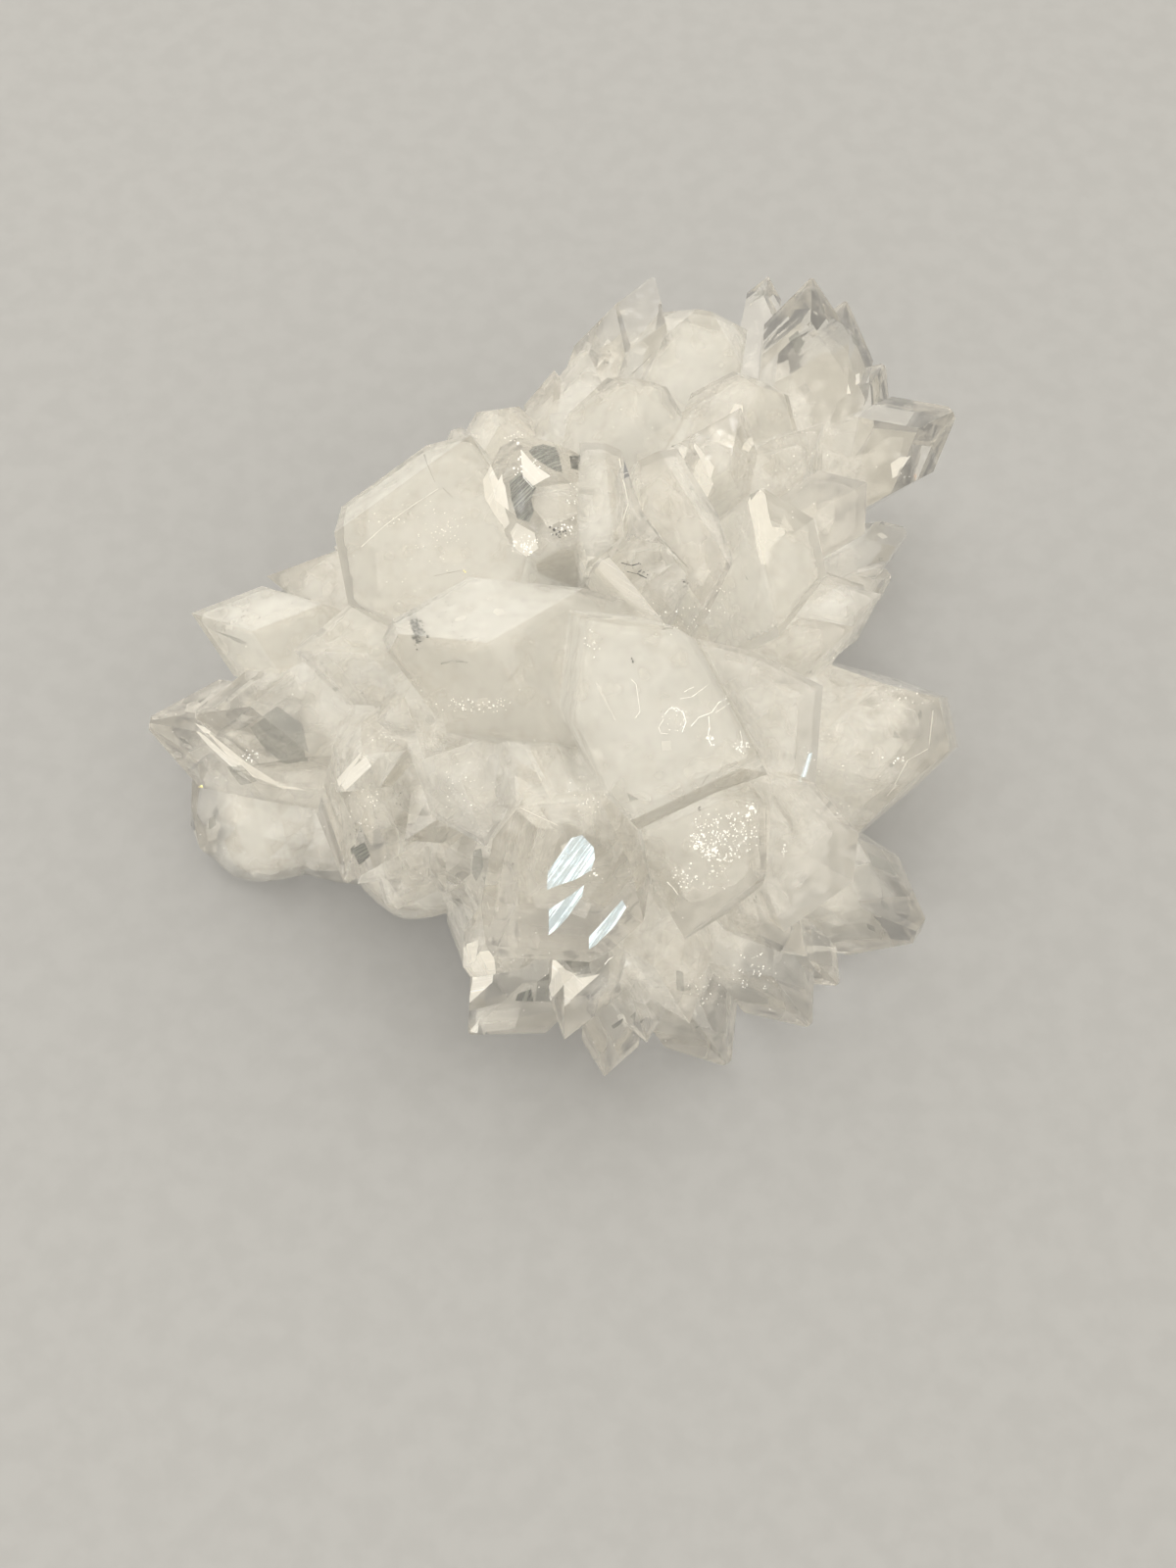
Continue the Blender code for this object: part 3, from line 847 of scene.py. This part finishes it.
    LOWER_CRYSTALS = (
        InnerFace(
            SKY,
            ((558, 908), (559, 890), (583, 855), (594, 852), (606, 865), (607, 876), (603, 888),
             (586, 898), (570, 903)),
            ((560, 905), (596, 855)),
        ),
        InnerFace(
            SKY,
            ((560, 954), (560, 928), (583, 913), (596, 903), (594, 914), (579, 936), (570, 946)),
            ((562, 950), (595, 904)),
        ),
        InnerFace(
            SKY,
            ((601, 969), (601, 956), (613, 943), (635, 918), (639, 926), (629, 943), (609, 963)),
            ((602, 967), (637, 920)),
        ),
        Swarm(SPARKLE, (608, 893), (10, 8), 12, 0.26 * MM),
        Thread(SPARKLE, ((617, 984), (621, 979), (626, 976)), 0.14 * MM),
        InnerFace(
            BRIGHT,
            ((564, 977), (579, 991), (591, 996), (611, 993), (596, 1004), (579, 1017), (562, 1007)),
        ),
        InnerFace(SHADE, ((570, 973), (586, 969), (599, 976), (603, 992), (588, 994))),
        InnerFace(SILVER, ((526, 1021), (528, 1014), (542, 1009), (544, 1022))),
        InnerFace(SHADE, ((546, 1021), (548, 1002), (561, 993), (563, 1007), (573, 1022))),
        InnerFace(BRIGHT, ((483, 966), (500, 964), (503, 979), (505, 1004), (483, 1026), (482, 1002))),
        InnerFace(PALE, ((481, 958), (497, 955), (497, 963), (483, 967))),
        InnerFace(BRIGHT, ((481, 1052), (489, 1041), (487, 1053))),
        InnerFace(PALE, ((487, 1030), (530, 1024), (524, 1046), (492, 1050))),
        InnerFace(SILVER, ((624, 1047), (636, 1039), (633, 1045), (626, 1050))),
        InnerFace(SHADE, ((643, 1037), (649, 1032), (648, 1042))),
        InnerFace(SHADE, ((690, 990), (697, 992), (698, 1012), (690, 1010))),
        InnerFace(PALE, ((688, 1024), (707, 1022), (711, 1036))),
        InnerFace(SHADE, ((727, 1059), (739, 1050), (741, 1053), (729, 1063))),
        Swarm(SPARKLE, (770, 990), (24, 22), 40, 0.26 * MM),
        Swarm(SPARKLE, (720, 1010), (20, 20), 26, 0.24 * MM),
        Swarm(SPECK, (530, 975), (30, 12), 20, 0.22 * MM),
        InnerFace(PALE, ((800, 966), (870, 972), (868, 978), (806, 975))),
        InnerFace(SHADE, ((885, 870), (918, 884), (914, 894), (890, 884))),
        InnerFace(SHADE, ((484, 868), (492, 866), (494, 884), (487, 900), (482, 890))),
        InnerFace(PALE, ((448, 905), (462, 908), (470, 930), (455, 922))),
        Swarm(SPARKLE, (560, 985), (60, 30), 30, 0.2 * MM),
        Swarm(SPARKLE, (860, 780), (50, 50), 30, 0.18 * MM),
    )

    @classmethod
    def everything(cls) -> list:
        """All the marks, in the order in which they are made."""
        return [
            *cls.EVERYWHERE,
            *cls.EYE_CRYSTAL,
            *cls.BIG_LEFT_FACE,
            *cls.LEFT_CRYSTALS,
            *cls.UPPER_CRYSTALS,
            *cls.MIDDLE_CRYSTALS,
            *cls.LOWER_CRYSTALS,
        ]


@dataclass
class Clouding:
    """How milky the crystal is from place to place."""

    sighting: Sighting
    milky_spots: tuple = (  # column, row and radius in pixels
        (430, 550, 130),
        (500, 650, 120),
        (650, 720, 150),
        (720, 370, 80),
        (640, 440, 70),
        (790, 430, 70),
        (270, 640, 80),
        (800, 600, 70),
        (720, 850, 70),
        (240, 840, 90),
    )
    clear_spots: tuple = (
        (265, 755, 80),
        (545, 500, 70),
        (590, 930, 120),
        (375, 850, 85),
        (480, 900, 70),
        (560, 1020, 80),
        (630, 1070, 60),
        (730, 1060, 70),
        (820, 1000, 80),
        (925, 910, 80),
        (950, 460, 70),
        (850, 350, 70),
        (640, 340, 60),
        (650, 570, 45),
        (915, 560, 60),
        (160, 735, 60),
        (960, 740, 50),
        (210, 830, 60),
    )
    core: float = 24 * MM  # all milky nearer to the heart than this
    rim: float = 58 * MM  # and clearest beyond this
    core_milkiness: float = 0.95
    rim_loss: float = 0.75  # how much less milky the rim is
    milky_gain: float = 0.6  # what the middle of a milky spot adds
    clear_gain: float = -0.9  # and the middle of a clear one
    spot_depth: float = 2 * MM

    def amounts(self, points: np.ndarray) -> np.ndarray:
        """How milky each of many points is.

        Args:
            points: rows of coordinates.

        Returns:
            For each point, 0 where it is clear to 1 where it is milky.
        """
        away = np.linalg.norm(points - np.array(HEART), axis=1)
        outward = np.clip((away - self.core) / (self.rim - self.core), 0, 1)
        amount = self.core_milkiness - self.rim_loss * outward
        kinds = ((self.milky_spots, self.milky_gain), (self.clear_spots, self.clear_gain))
        for spots, gain in kinds:
            for column, row, radius in spots:
                centre = self.sighting.under((column, row), self.spot_depth)
                if centre is None:
                    continue
                near = np.linalg.norm(points - np.array(centre), axis=1) / (radius * PIXEL)
                amount += gain * np.clip(1 - near * near, 0, 1)
        return np.clip(amount, 0, 1)


@dataclass
class CrystalCluster:
    """The clear outer form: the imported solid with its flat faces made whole."""

    node: bpy.types.Object
    merge: float = 0.002 * MM
    flat_within: float = math.radians(0.4)
    edge_width: float = 0.16 * MM
    smooth_below: float = math.radians(24)
    milky_above: float = 0.8
    clear_below: float = 0.42
    tone_seed: int = 5

    def merged(self) -> bpy.types.Object:
        """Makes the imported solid's flat faces whole.

        Returns:
            The clear form, before it is dressed.
        """
        glass = linked_object("clear_crystals", self.node.data.copy())
        glass.data.materials.clear()
        make_active(glass)
        bpy.ops.object.mode_set(mode="EDIT")
        bpy.ops.mesh.select_all(action="SELECT")
        bpy.ops.mesh.remove_doubles(threshold=self.merge)
        bpy.ops.mesh.dissolve_limited(angle_limit=self.flat_within)
        bpy.ops.object.mode_set(mode="OBJECT")
        return glass

    def dress(self, glass: bpy.types.Object, clouding: Clouding) -> None:
        """Gives the faces their finishes, their worn edges with a painted highlight, and their pattern
        axes.

        Args:
            glass: what merged() made.
            clouding: says how milky each face is.
        """
        for clarity in Clarity:
            glass.data.materials.append(clarity.value.material())
        self.choose_clarity(glass.data, clouding)
        bevel = glass.modifiers.new("worn_edges", "BEVEL")
        bevel.width = self.edge_width
        bevel.segments = 1
        bevel.limit_method = "ANGLE"
        bevel.angle_limit = self.smooth_below
        # the worn edges take the edge finish, whose glow paints a bright highlight along them
        bevel.material = list(Clarity).index(Clarity.EDGE)
        apply_modifiers(glass)
        self.lay_out_faces(glass.data)
        bpy.ops.object.shade_smooth_by_angle(angle=self.smooth_below)

    def choose_clarity(self, mesh: bpy.types.Mesh, clouding: Clouding) -> None:
        """Gives each face the finish that suits how milky its crystal is there.

        Args:
            mesh: the clear form's mesh.
            clouding: says how milky each face is.
        """
        order = list(Clarity)
        amounts = clouding.amounts(np.array([face.center for face in mesh.polygons]))
        for face, amount in zip(mesh.polygons, amounts):
            chosen = Clarity.HAZY
            if amount > self.milky_above:
                chosen = Clarity.MILKY
            elif amount < self.clear_below:
                chosen = Clarity.CLEAR
            face.material_index = order.index(chosen)

    def lay_out_faces(self, mesh: bpy.types.Mesh) -> None:
        """Gives each face a tone, and pattern axes in metres along its longest edge.

        Args:
            mesh: the clear form's mesh, with its worn edges.
        """
        layer = mesh.uv_layers.new(name="faces").data
        tone = mesh.attributes.new("tone", "FLOAT", "FACE").data
        rng = random.Random(self.tone_seed)
        for face in mesh.polygons:
            tone[face.index].value = rng.random()
            corners = [mesh.vertices[index].co for index in face.vertices]
            edges = [corners[number] - corners[number - 1] for number in range(len(corners))]
            along = max(edges, key=lambda edge: edge.length).normalized()
            across = face.normal.cross(along)
            shift = Vector((rng.random(), rng.random()))
            for loop in face.loop_indices:
                point = mesh.vertices[mesh.loops[loop].vertex_index].co - face.center
                layer[loop].uv = shift + Vector((point.dot(along), point.dot(across)))


@dataclass(frozen=True)
class CloudSkin:
    """One surface of the milky cloud, at its depth under the crystal's surface."""

    depth: float
    least: float  # cover where the crystal is clear
    most: float  # cover where it is milky
    crumple: float = 0  # how far it strays from its depth
    kept: float = 1  # share of its faces that are kept, as larger flat ones


@dataclass
class MilkyHearts:
    """Cloudy crystal inside the clear: nested surfaces that lie deeper and deeper."""

    source: bpy.types.Object
    clouding: Clouding
    skins: tuple = (
        CloudSkin(0.5 * MM, 0.0, 0.38),
        CloudSkin(2.0 * MM, 0.03, 0.55, 1.6 * MM, 0.4),
        CloudSkin(4.5 * MM, 0.1, 0.85, 4 * MM, 0.3),
        CloudSkin(8.0 * MM, 1.0, 1.0, 7 * MM, 0.3),
    )
    crumple_size: float = 6 * MM
    voxel: float = 0.6 * MM
    coarser: int = 2  # how much larger a crumpled skin's voxels are
    band: float = 12 * MM
    adaptivity: float = 0.1

    def build(self) -> list:
        """Builds one piece for each skin.

        Returns:
            The pieces, outermost first.
        """
        volume = linked_object("cloud_volume", bpy.data.volumes.new("cloud_volume"))
        fill = volume.modifiers.new("fill", "MESH_TO_VOLUME")
        fill.object = self.source
        fill.resolution_mode = "VOXEL_SIZE"
        fill.voxel_size = self.voxel
        fill.interior_band_width = self.band
        fill.density = 1
        clouds = [self.skin(number, volume) for number in range(len(self.skins))]
        bpy.data.objects.remove(volume)
        return clouds

    def crumpling(self) -> bpy.types.Texture:
        """Makes the uneven pattern that crumples the deeper skins, or finds it again.

        Returns:
            The pattern.
        """
        if "crumpling" in bpy.data.textures:
            return bpy.data.textures["crumpling"]
        pattern = bpy.data.textures.new("crumpling", "CLOUDS")
        pattern.noise_scale = self.crumple_size
        pattern.noise_depth = 1
        return pattern

    def skin(self, number: int, volume: bpy.types.Object) -> bpy.types.Object:
        """Builds one surface of the cloud.

        Args:
            number: which of the skins.
            volume: the crystal as a fog that thickens inwards.

        Returns:
            The piece.
        """
        skin = self.skins[number]
        name = f"milky_cloud_{number + 1}"
        cloud = linked_object(name, bpy.data.meshes.new(name))
        shape = cloud.modifiers.new("shape", "VOLUME_TO_MESH")
        shape.object = volume
        shape.resolution_mode = "VOXEL_SIZE"
        shape.voxel_size = self.voxel * (self.coarser if skin.crumple else 1)
        shape.adaptivity = self.adaptivity
        shape.threshold = skin.depth / self.band
        if skin.crumple:
            crumple = cloud.modifiers.new("crumple", "DISPLACE")
            crumple.texture = self.crumpling()
            crumple.strength = skin.crumple
            thin = cloud.modifiers.new("thin", "DECIMATE")
            thin.ratio = skin.kept
            apply_modifiers(cloud)
            bpy.ops.object.shade_flat()
        else:
            apply_modifiers(cloud)
            bpy.ops.object.shade_smooth()
        mesh = cloud.data
        places = np.empty(len(mesh.vertices) * 3, np.float32)
        mesh.vertices.foreach_get("co", places)
        milkiness = mesh.attributes.new("milkiness", "FLOAT", "POINT").data
        amounts = self.clouding.amounts(places.reshape(-1, 3).astype(float))
        milkiness.foreach_set("value", amounts.astype(np.float32))
        mesh.materials.append(CloudFinish(mesh.name, skin.least, skin.most).material())
        return cloud


@dataclass
class InnerWorld:
    """The glints, cracks and specks, made as one piece for each kind of mark."""

    sighting: Sighting
    source: bpy.types.Object
    plate: float = 0.05 * MM  # thickness of an inner face
    sheltered: float = 0.05 * MM  # least depth of a fleck
    lean: float = 0.7  # how far flecks turn away from the eye
    flat_lean: float = 0.1  # how far strewn inner faces turn away from the crystal's face
    fleck_corners: tuple = (3, 4, 5)
    fleck_front: float = 0.5  # a fleck's front to its back
    fleck_depth: float = 0.4  # a fleck's depth to its radius
    thread_sizes: tuple = (0.7, 1.2)  # thinnest and thickest stretch to the thread's own
    strewn_sizes: tuple = (0.3, 1)
    strewn_widths: tuple = (0.35, 1)  # a strewn fleck's width to its length
    swarm_sizes: tuple = (0.45, 1.1)
    crowding: float = 0.7  # over 0.5, a swarm is denser towards its middle
    seed: int = 11

    def build(self) -> list:
        """Builds the pieces.

        Returns:
            One piece for each kind of mark.
        """
        rng = random.Random(self.seed)
        flecks = [self.model_fleck(corners) for corners in self.fleck_corners]
        pieces = []
        for mark in Mark:
            parts = []
            for thing in Marks.everything():
                if thing.mark is not mark:
                    continue
                if isinstance(thing, InnerFace):
                    parts += self.make_face(thing)
                elif isinstance(thing, Thread):
                    parts += self.make_thread(thing, flecks[1], rng)
                elif isinstance(thing, Scatter):
                    parts += self.make_scatter(thing, flecks, rng)
                else:
                    parts += self.make_swarm(thing, flecks, rng)
            pieces.append(self.joined(mark, parts))
        for fleck in flecks:
            bpy.data.objects.remove(fleck)
        return pieces

    def joined(self, mark: Mark, parts: list) -> bpy.types.Object:
        """Joins parts into one piece and dresses it.

        Args:
            mark: the kind of mark, which gives the name and the finish.
            parts: the parts.

        Returns:
            The piece.
        """
        deselect_all()
        for part in parts:
            part.select_set(True)
        bpy.context.view_layer.objects.active = parts[0]
        bpy.ops.object.join()
        piece = bpy.context.active_object
        piece.name = mark.value.name
        piece.data.name = mark.value.name
        piece.data.materials.append(mark.value.material())
        return piece

    def model_fleck(self, corners: int) -> bpy.types.Object:
        """Models a flat fleck, one unit in radius and tapered towards its front.

        Args:
            corners: how many corners it has.

        Returns:
            The fleck.
        """
        deselect_all()
        bpy.ops.mesh.primitive_cone_add(
            vertices=corners, radius1=1, radius2=self.fleck_front, depth=self.fleck_depth
        )
        return bpy.context.active_object

    def copied(self, model: bpy.types.Object, place: Matrix) -> bpy.types.Object:
        """Copies a model with its own mesh, placed in that mesh.

        Args:
            model: what to copy.
            place: the copy's place, turn and size.

        Returns:
            The copy.
        """
        part = linked_object("part", model.data.copy())
        part.data.transform(place)
        return part

    def make_face(self, face: InnerFace) -> list:
        """Makes a thin flat plate, with its pattern axes along its grain.

        Args:
            face: the inner face.

        Returns:
            The plate in a list, which is empty where it misses the crystal.
        """
        points = self.sighting.flat_under(list(face.corners), face.depth)
        if len(points) < 3:
            LOG.warning("%s misses the crystal", face)
            return []
        deselect_all()
        bpy.ops.mesh.primitive_circle_add(vertices=len(points), fill_type="NGON")
        plate = bpy.context.active_object
        for vertex, point in zip(plate.data.vertices, points):
            vertex.co = point
        solid = plate.modifiers.new("solid", "SOLIDIFY")
        solid.thickness = self.plate
        solid.offset = 0
        apply_modifiers(plate)
        along = points[1] - points[0]
        if face.grain:
            ends = self.sighting.flat_under(list(face.grain), face.depth)
            along = ends[-1] - ends[0]
        normal = plate.data.polygons[0].normal
        along = (along - normal * along.dot(normal)).normalized()
        across = normal.cross(along)
        layer = plate.data.uv_layers[0].data
        for loop in plate.data.loops:
            point = plate.data.vertices[loop.vertex_index].co
            layer[loop.index].uv = (point.dot(along), point.dot(across))
        return [plate]

    def make_thread(self, thread: Thread, sliver: bpy.types.Object, rng: random.Random) -> list:
        """Makes a row of thin slivers from spot to spot, a little uneven.

        Args:
            thread: the thread.
            sliver: the fleck to copy.
            rng: where its unevenness comes from.

        Returns:
            The slivers.
        """
        points = [self.sighting.under(spot, thread.depth) for spot in thread.spots]
        points = [point for point in points if point]
        parts = []
        for start, end in zip(points, points[1:]):
            run = end - start
            thick = thread.thick * rng.uniform(*self.thread_sizes) / 2
            size = Matrix.Diagonal((thick, thick, run.length / self.fleck_depth, 1))
            turn = run.to_track_quat("Z", "Y").to_matrix().to_4x4()
            place = Matrix.Translation((start + end) / 2) @ turn @ size
            parts.append(self.copied(sliver, place))
        return parts

    def make_scatter(self, scatter: Scatter, flecks: list, rng: random.Random) -> list:
        """Makes flecks or flat faces under faces picked by their area.

        Args:
            scatter: what is strewn.
            flecks: the flecks to copy.
            rng: where its places and sizes come from.

        Returns:
            The flecks that lie wholly inside the crystal.
        """
        mesh = self.source.data
        picked = rng.choices(
            mesh.polygons, [face.area for face in mesh.polygons], k=scatter.count
        )
        parts = []
        for face in picked:
            corners = [mesh.vertices[index].co for index in rng.sample(list(face.vertices), 3)]
            shares = [rng.random() for _ in corners]
            over = sum((corner * share for corner, share in zip(corners, shares)), Vector())
            size = scatter.size * rng.uniform(*self.strewn_sizes) / 2
            depth = self.sheltered + rng.random() * scatter.deepest
            depth += 0 if scatter.flat else size
            centre = over / sum(shares) - face.normal * depth
            lean = self.flat_lean if scatter.flat else self.lean
            stray = Vector([rng.uniform(-lean, lean) for _ in range(3)])
            turn = (face.normal + stray).to_track_quat("Z", "Y").to_matrix().to_4x4()
            spin = Matrix.Rotation(rng.uniform(0, math.pi), 4, "Z")
            thick = self.plate if scatter.flat else size
            wide = size * rng.uniform(*self.strewn_widths)
            form = Matrix.Diagonal((size, wide, thick, 1))
            place = Matrix.Translation(centre) @ turn @ spin @ form
            part = self.copied(rng.choice(flecks), place)
            if all(self.is_inside(vertex.co) for vertex in part.data.vertices):
                parts.append(part)
            else:
                bpy.data.objects.remove(part)
        return parts

    def is_inside(self, point: Vector) -> bool:
        """Whether a point lies inside the crystal."""
        nearest, normal, *_ = self.sighting.surface.find_nearest(point)
        return (point - nearest).dot(normal) < 0

    def make_swarm(self, swarm: Swarm, flecks: list, rng: random.Random) -> list:
        """Makes flat flecks scattered over an oval, denser towards its middle.

        Args:
            swarm: the swarm.
            flecks: the flecks to copy.
            rng: where its places and sizes come from.

        Returns:
            The flecks.
        """
        parts = []
        for _ in range(swarm.count):
            around = rng.uniform(0, 2 * math.pi)
            out = rng.random() ** self.crowding
            spot = (
                swarm.centre[0] + swarm.radii[0] * out * math.cos(around),
                swarm.centre[1] + swarm.radii[1] * out * math.sin(around),
            )
            size = swarm.size * rng.uniform(*self.swarm_sizes) / 2
            depth = self.sheltered + size + rng.random() * swarm.deepest
            centre = self.sighting.under(spot, depth)
            stray = Vector([rng.uniform(-self.lean, self.lean) for _ in range(3)])
            facing = stray - self.sighting.viewpoint.sight(spot)
            spin = Matrix.Rotation(rng.uniform(0, math.pi), 4, "Z")
            fleck = rng.choice(flecks)
            if centre is None:
                continue
            turn = facing.to_track_quat("Z", "Y").to_matrix().to_4x4()
            place = Matrix.Translation(centre) @ turn @ spin @ Matrix.Scale(size, 4)
            parts.append(self.copied(fleck, place))
        return parts


@dataclass
class Studio:
    """A plain pale floor under plain soft light."""

    floor_side: float = 8.0
    floor_dull: tuple = (0.49, 0.485, 0.475, 1)
    floor_bright: tuple = (0.51, 0.505, 0.495, 1)
    floor_grain: float = 4 * MM
    floor_rough: float = 0.85
    aim: tuple = (0, 0, 0.03)  # what both lights look at
    room_colour: tuple = (1.0, 0.965, 0.885, 1)
    room_height: tuple = (1.02, 0.88)  # its brightness low down and overhead
    room_side: tuple = (0.92, 1.1)  # and how much of it the left and the right have

    def build(self) -> None:
        """Builds the floor, the lights and the surroundings."""
        deselect_all()
        bpy.ops.mesh.primitive_plane_add(size=self.floor_side)
        floor = bpy.context.active_object
        floor.name = "floor"
        floor.data.name = "floor"
        material, tree, shader = new_material("floor")
        shader.inputs["Roughness"].default_value = self.floor_rough
        grain = noise(tree, 1 / self.floor_grain, 3)
        shade = tinted(tree, ranged(tree, grain, *NOISE_SPREAD), self.floor_dull, self.floor_bright)
        tree.links.new(shade, shader.inputs["Base Color"])
        floor.data.materials.append(material)
        self.surroundings()
        self.soft_light("window", (-0.54, -0.2, 0.82), 0.25, 1.6)
        self.soft_light("lamp", (0.17, 0.62, 0.77), 0.2, 0.8)
        bpy.context.scene.view_settings.view_transform = "Standard"
        self.let_light_through()

    def let_light_through(self) -> None:
        """Follows light through a few faces, which keeps a render of so much glass short."""
        light_paths = bpy.context.scene.cycles
        light_paths.max_bounces = 6
        light_paths.transmission_bounces = 5
        light_paths.glossy_bounces = 3
        light_paths.diffuse_bounces = 1
        light_paths.transparent_max_bounces = 7
        light_paths.caustics_reflective = False

    def surroundings(self) -> None:
        """Makes a pale room: brightest low down and to the right, dimmer overhead."""
        world = bpy.data.worlds.new("studio")
        world.use_nodes = True
        tree = world.node_tree
        background = tree.nodes["Background"]
        where = tree.nodes.new("ShaderNodeTexCoord")
        split = tree.nodes.new("ShaderNodeSeparateXYZ")
        tree.links.new(where.outputs["Generated"], split.inputs["Vector"])
        height = ranged(tree, split.outputs["Z"], -0.1, 0.9, *self.room_height)
        side = ranged(tree, split.outputs["X"], -0.9, 0.9, *self.room_side)
        tree.links.new(combined(tree, "MULTIPLY", height, side), background.inputs["Strength"])
        background.inputs["Color"].default_value = self.room_colour
        bpy.context.scene.world = world

    def soft_light(self, name: str, place: tuple, side: float, watts: float) -> None:
        """Adds a square soft light that looks at the cluster.

        Args:
            name: the light's name.
            place: where it stands, in metres.
            side: its width, in metres.
            watts: its power.
        """
        data = bpy.data.lights.new(name, "AREA")
        data.size = side
        data.energy = watts
        light = linked_object(name, data)
        light.visible_glossy = False  # no mirror image of it stands in the faces
        light.location = place
        aim = Vector(self.aim) - light.location
        light.rotation_euler = aim.to_track_quat("-Z", "Y").to_euler()


def main() -> None:
    """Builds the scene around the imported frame."""
    viewpoint = Viewpoint()
    viewpoint.make_camera()
    Studio().build()
    cluster = CrystalCluster(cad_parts[NODE])
    glass = cluster.merged()
    graph = bpy.context.evaluated_depsgraph_get()
    sighting = Sighting(viewpoint, BVHTree.FromObject(glass, graph))
    clouding = Clouding(sighting)
    hearts = MilkyHearts(glass, clouding).build()
    marks = InnerWorld(sighting, glass).build()
    cluster.dress(glass, clouding)
    for piece in [glass, *hearts, *marks]:
        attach(piece, BODY)
        LOG.info("%s: %d faces", piece.name, len(piece.data.polygons))
    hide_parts(NODE)
    for piece in (glass, *hearts[:2]):
        piece.visible_shadow = False  # light reaches the deeper clouds through them


if __name__ == "__main__":
    logging.basicConfig(level=logging.INFO)
    main()
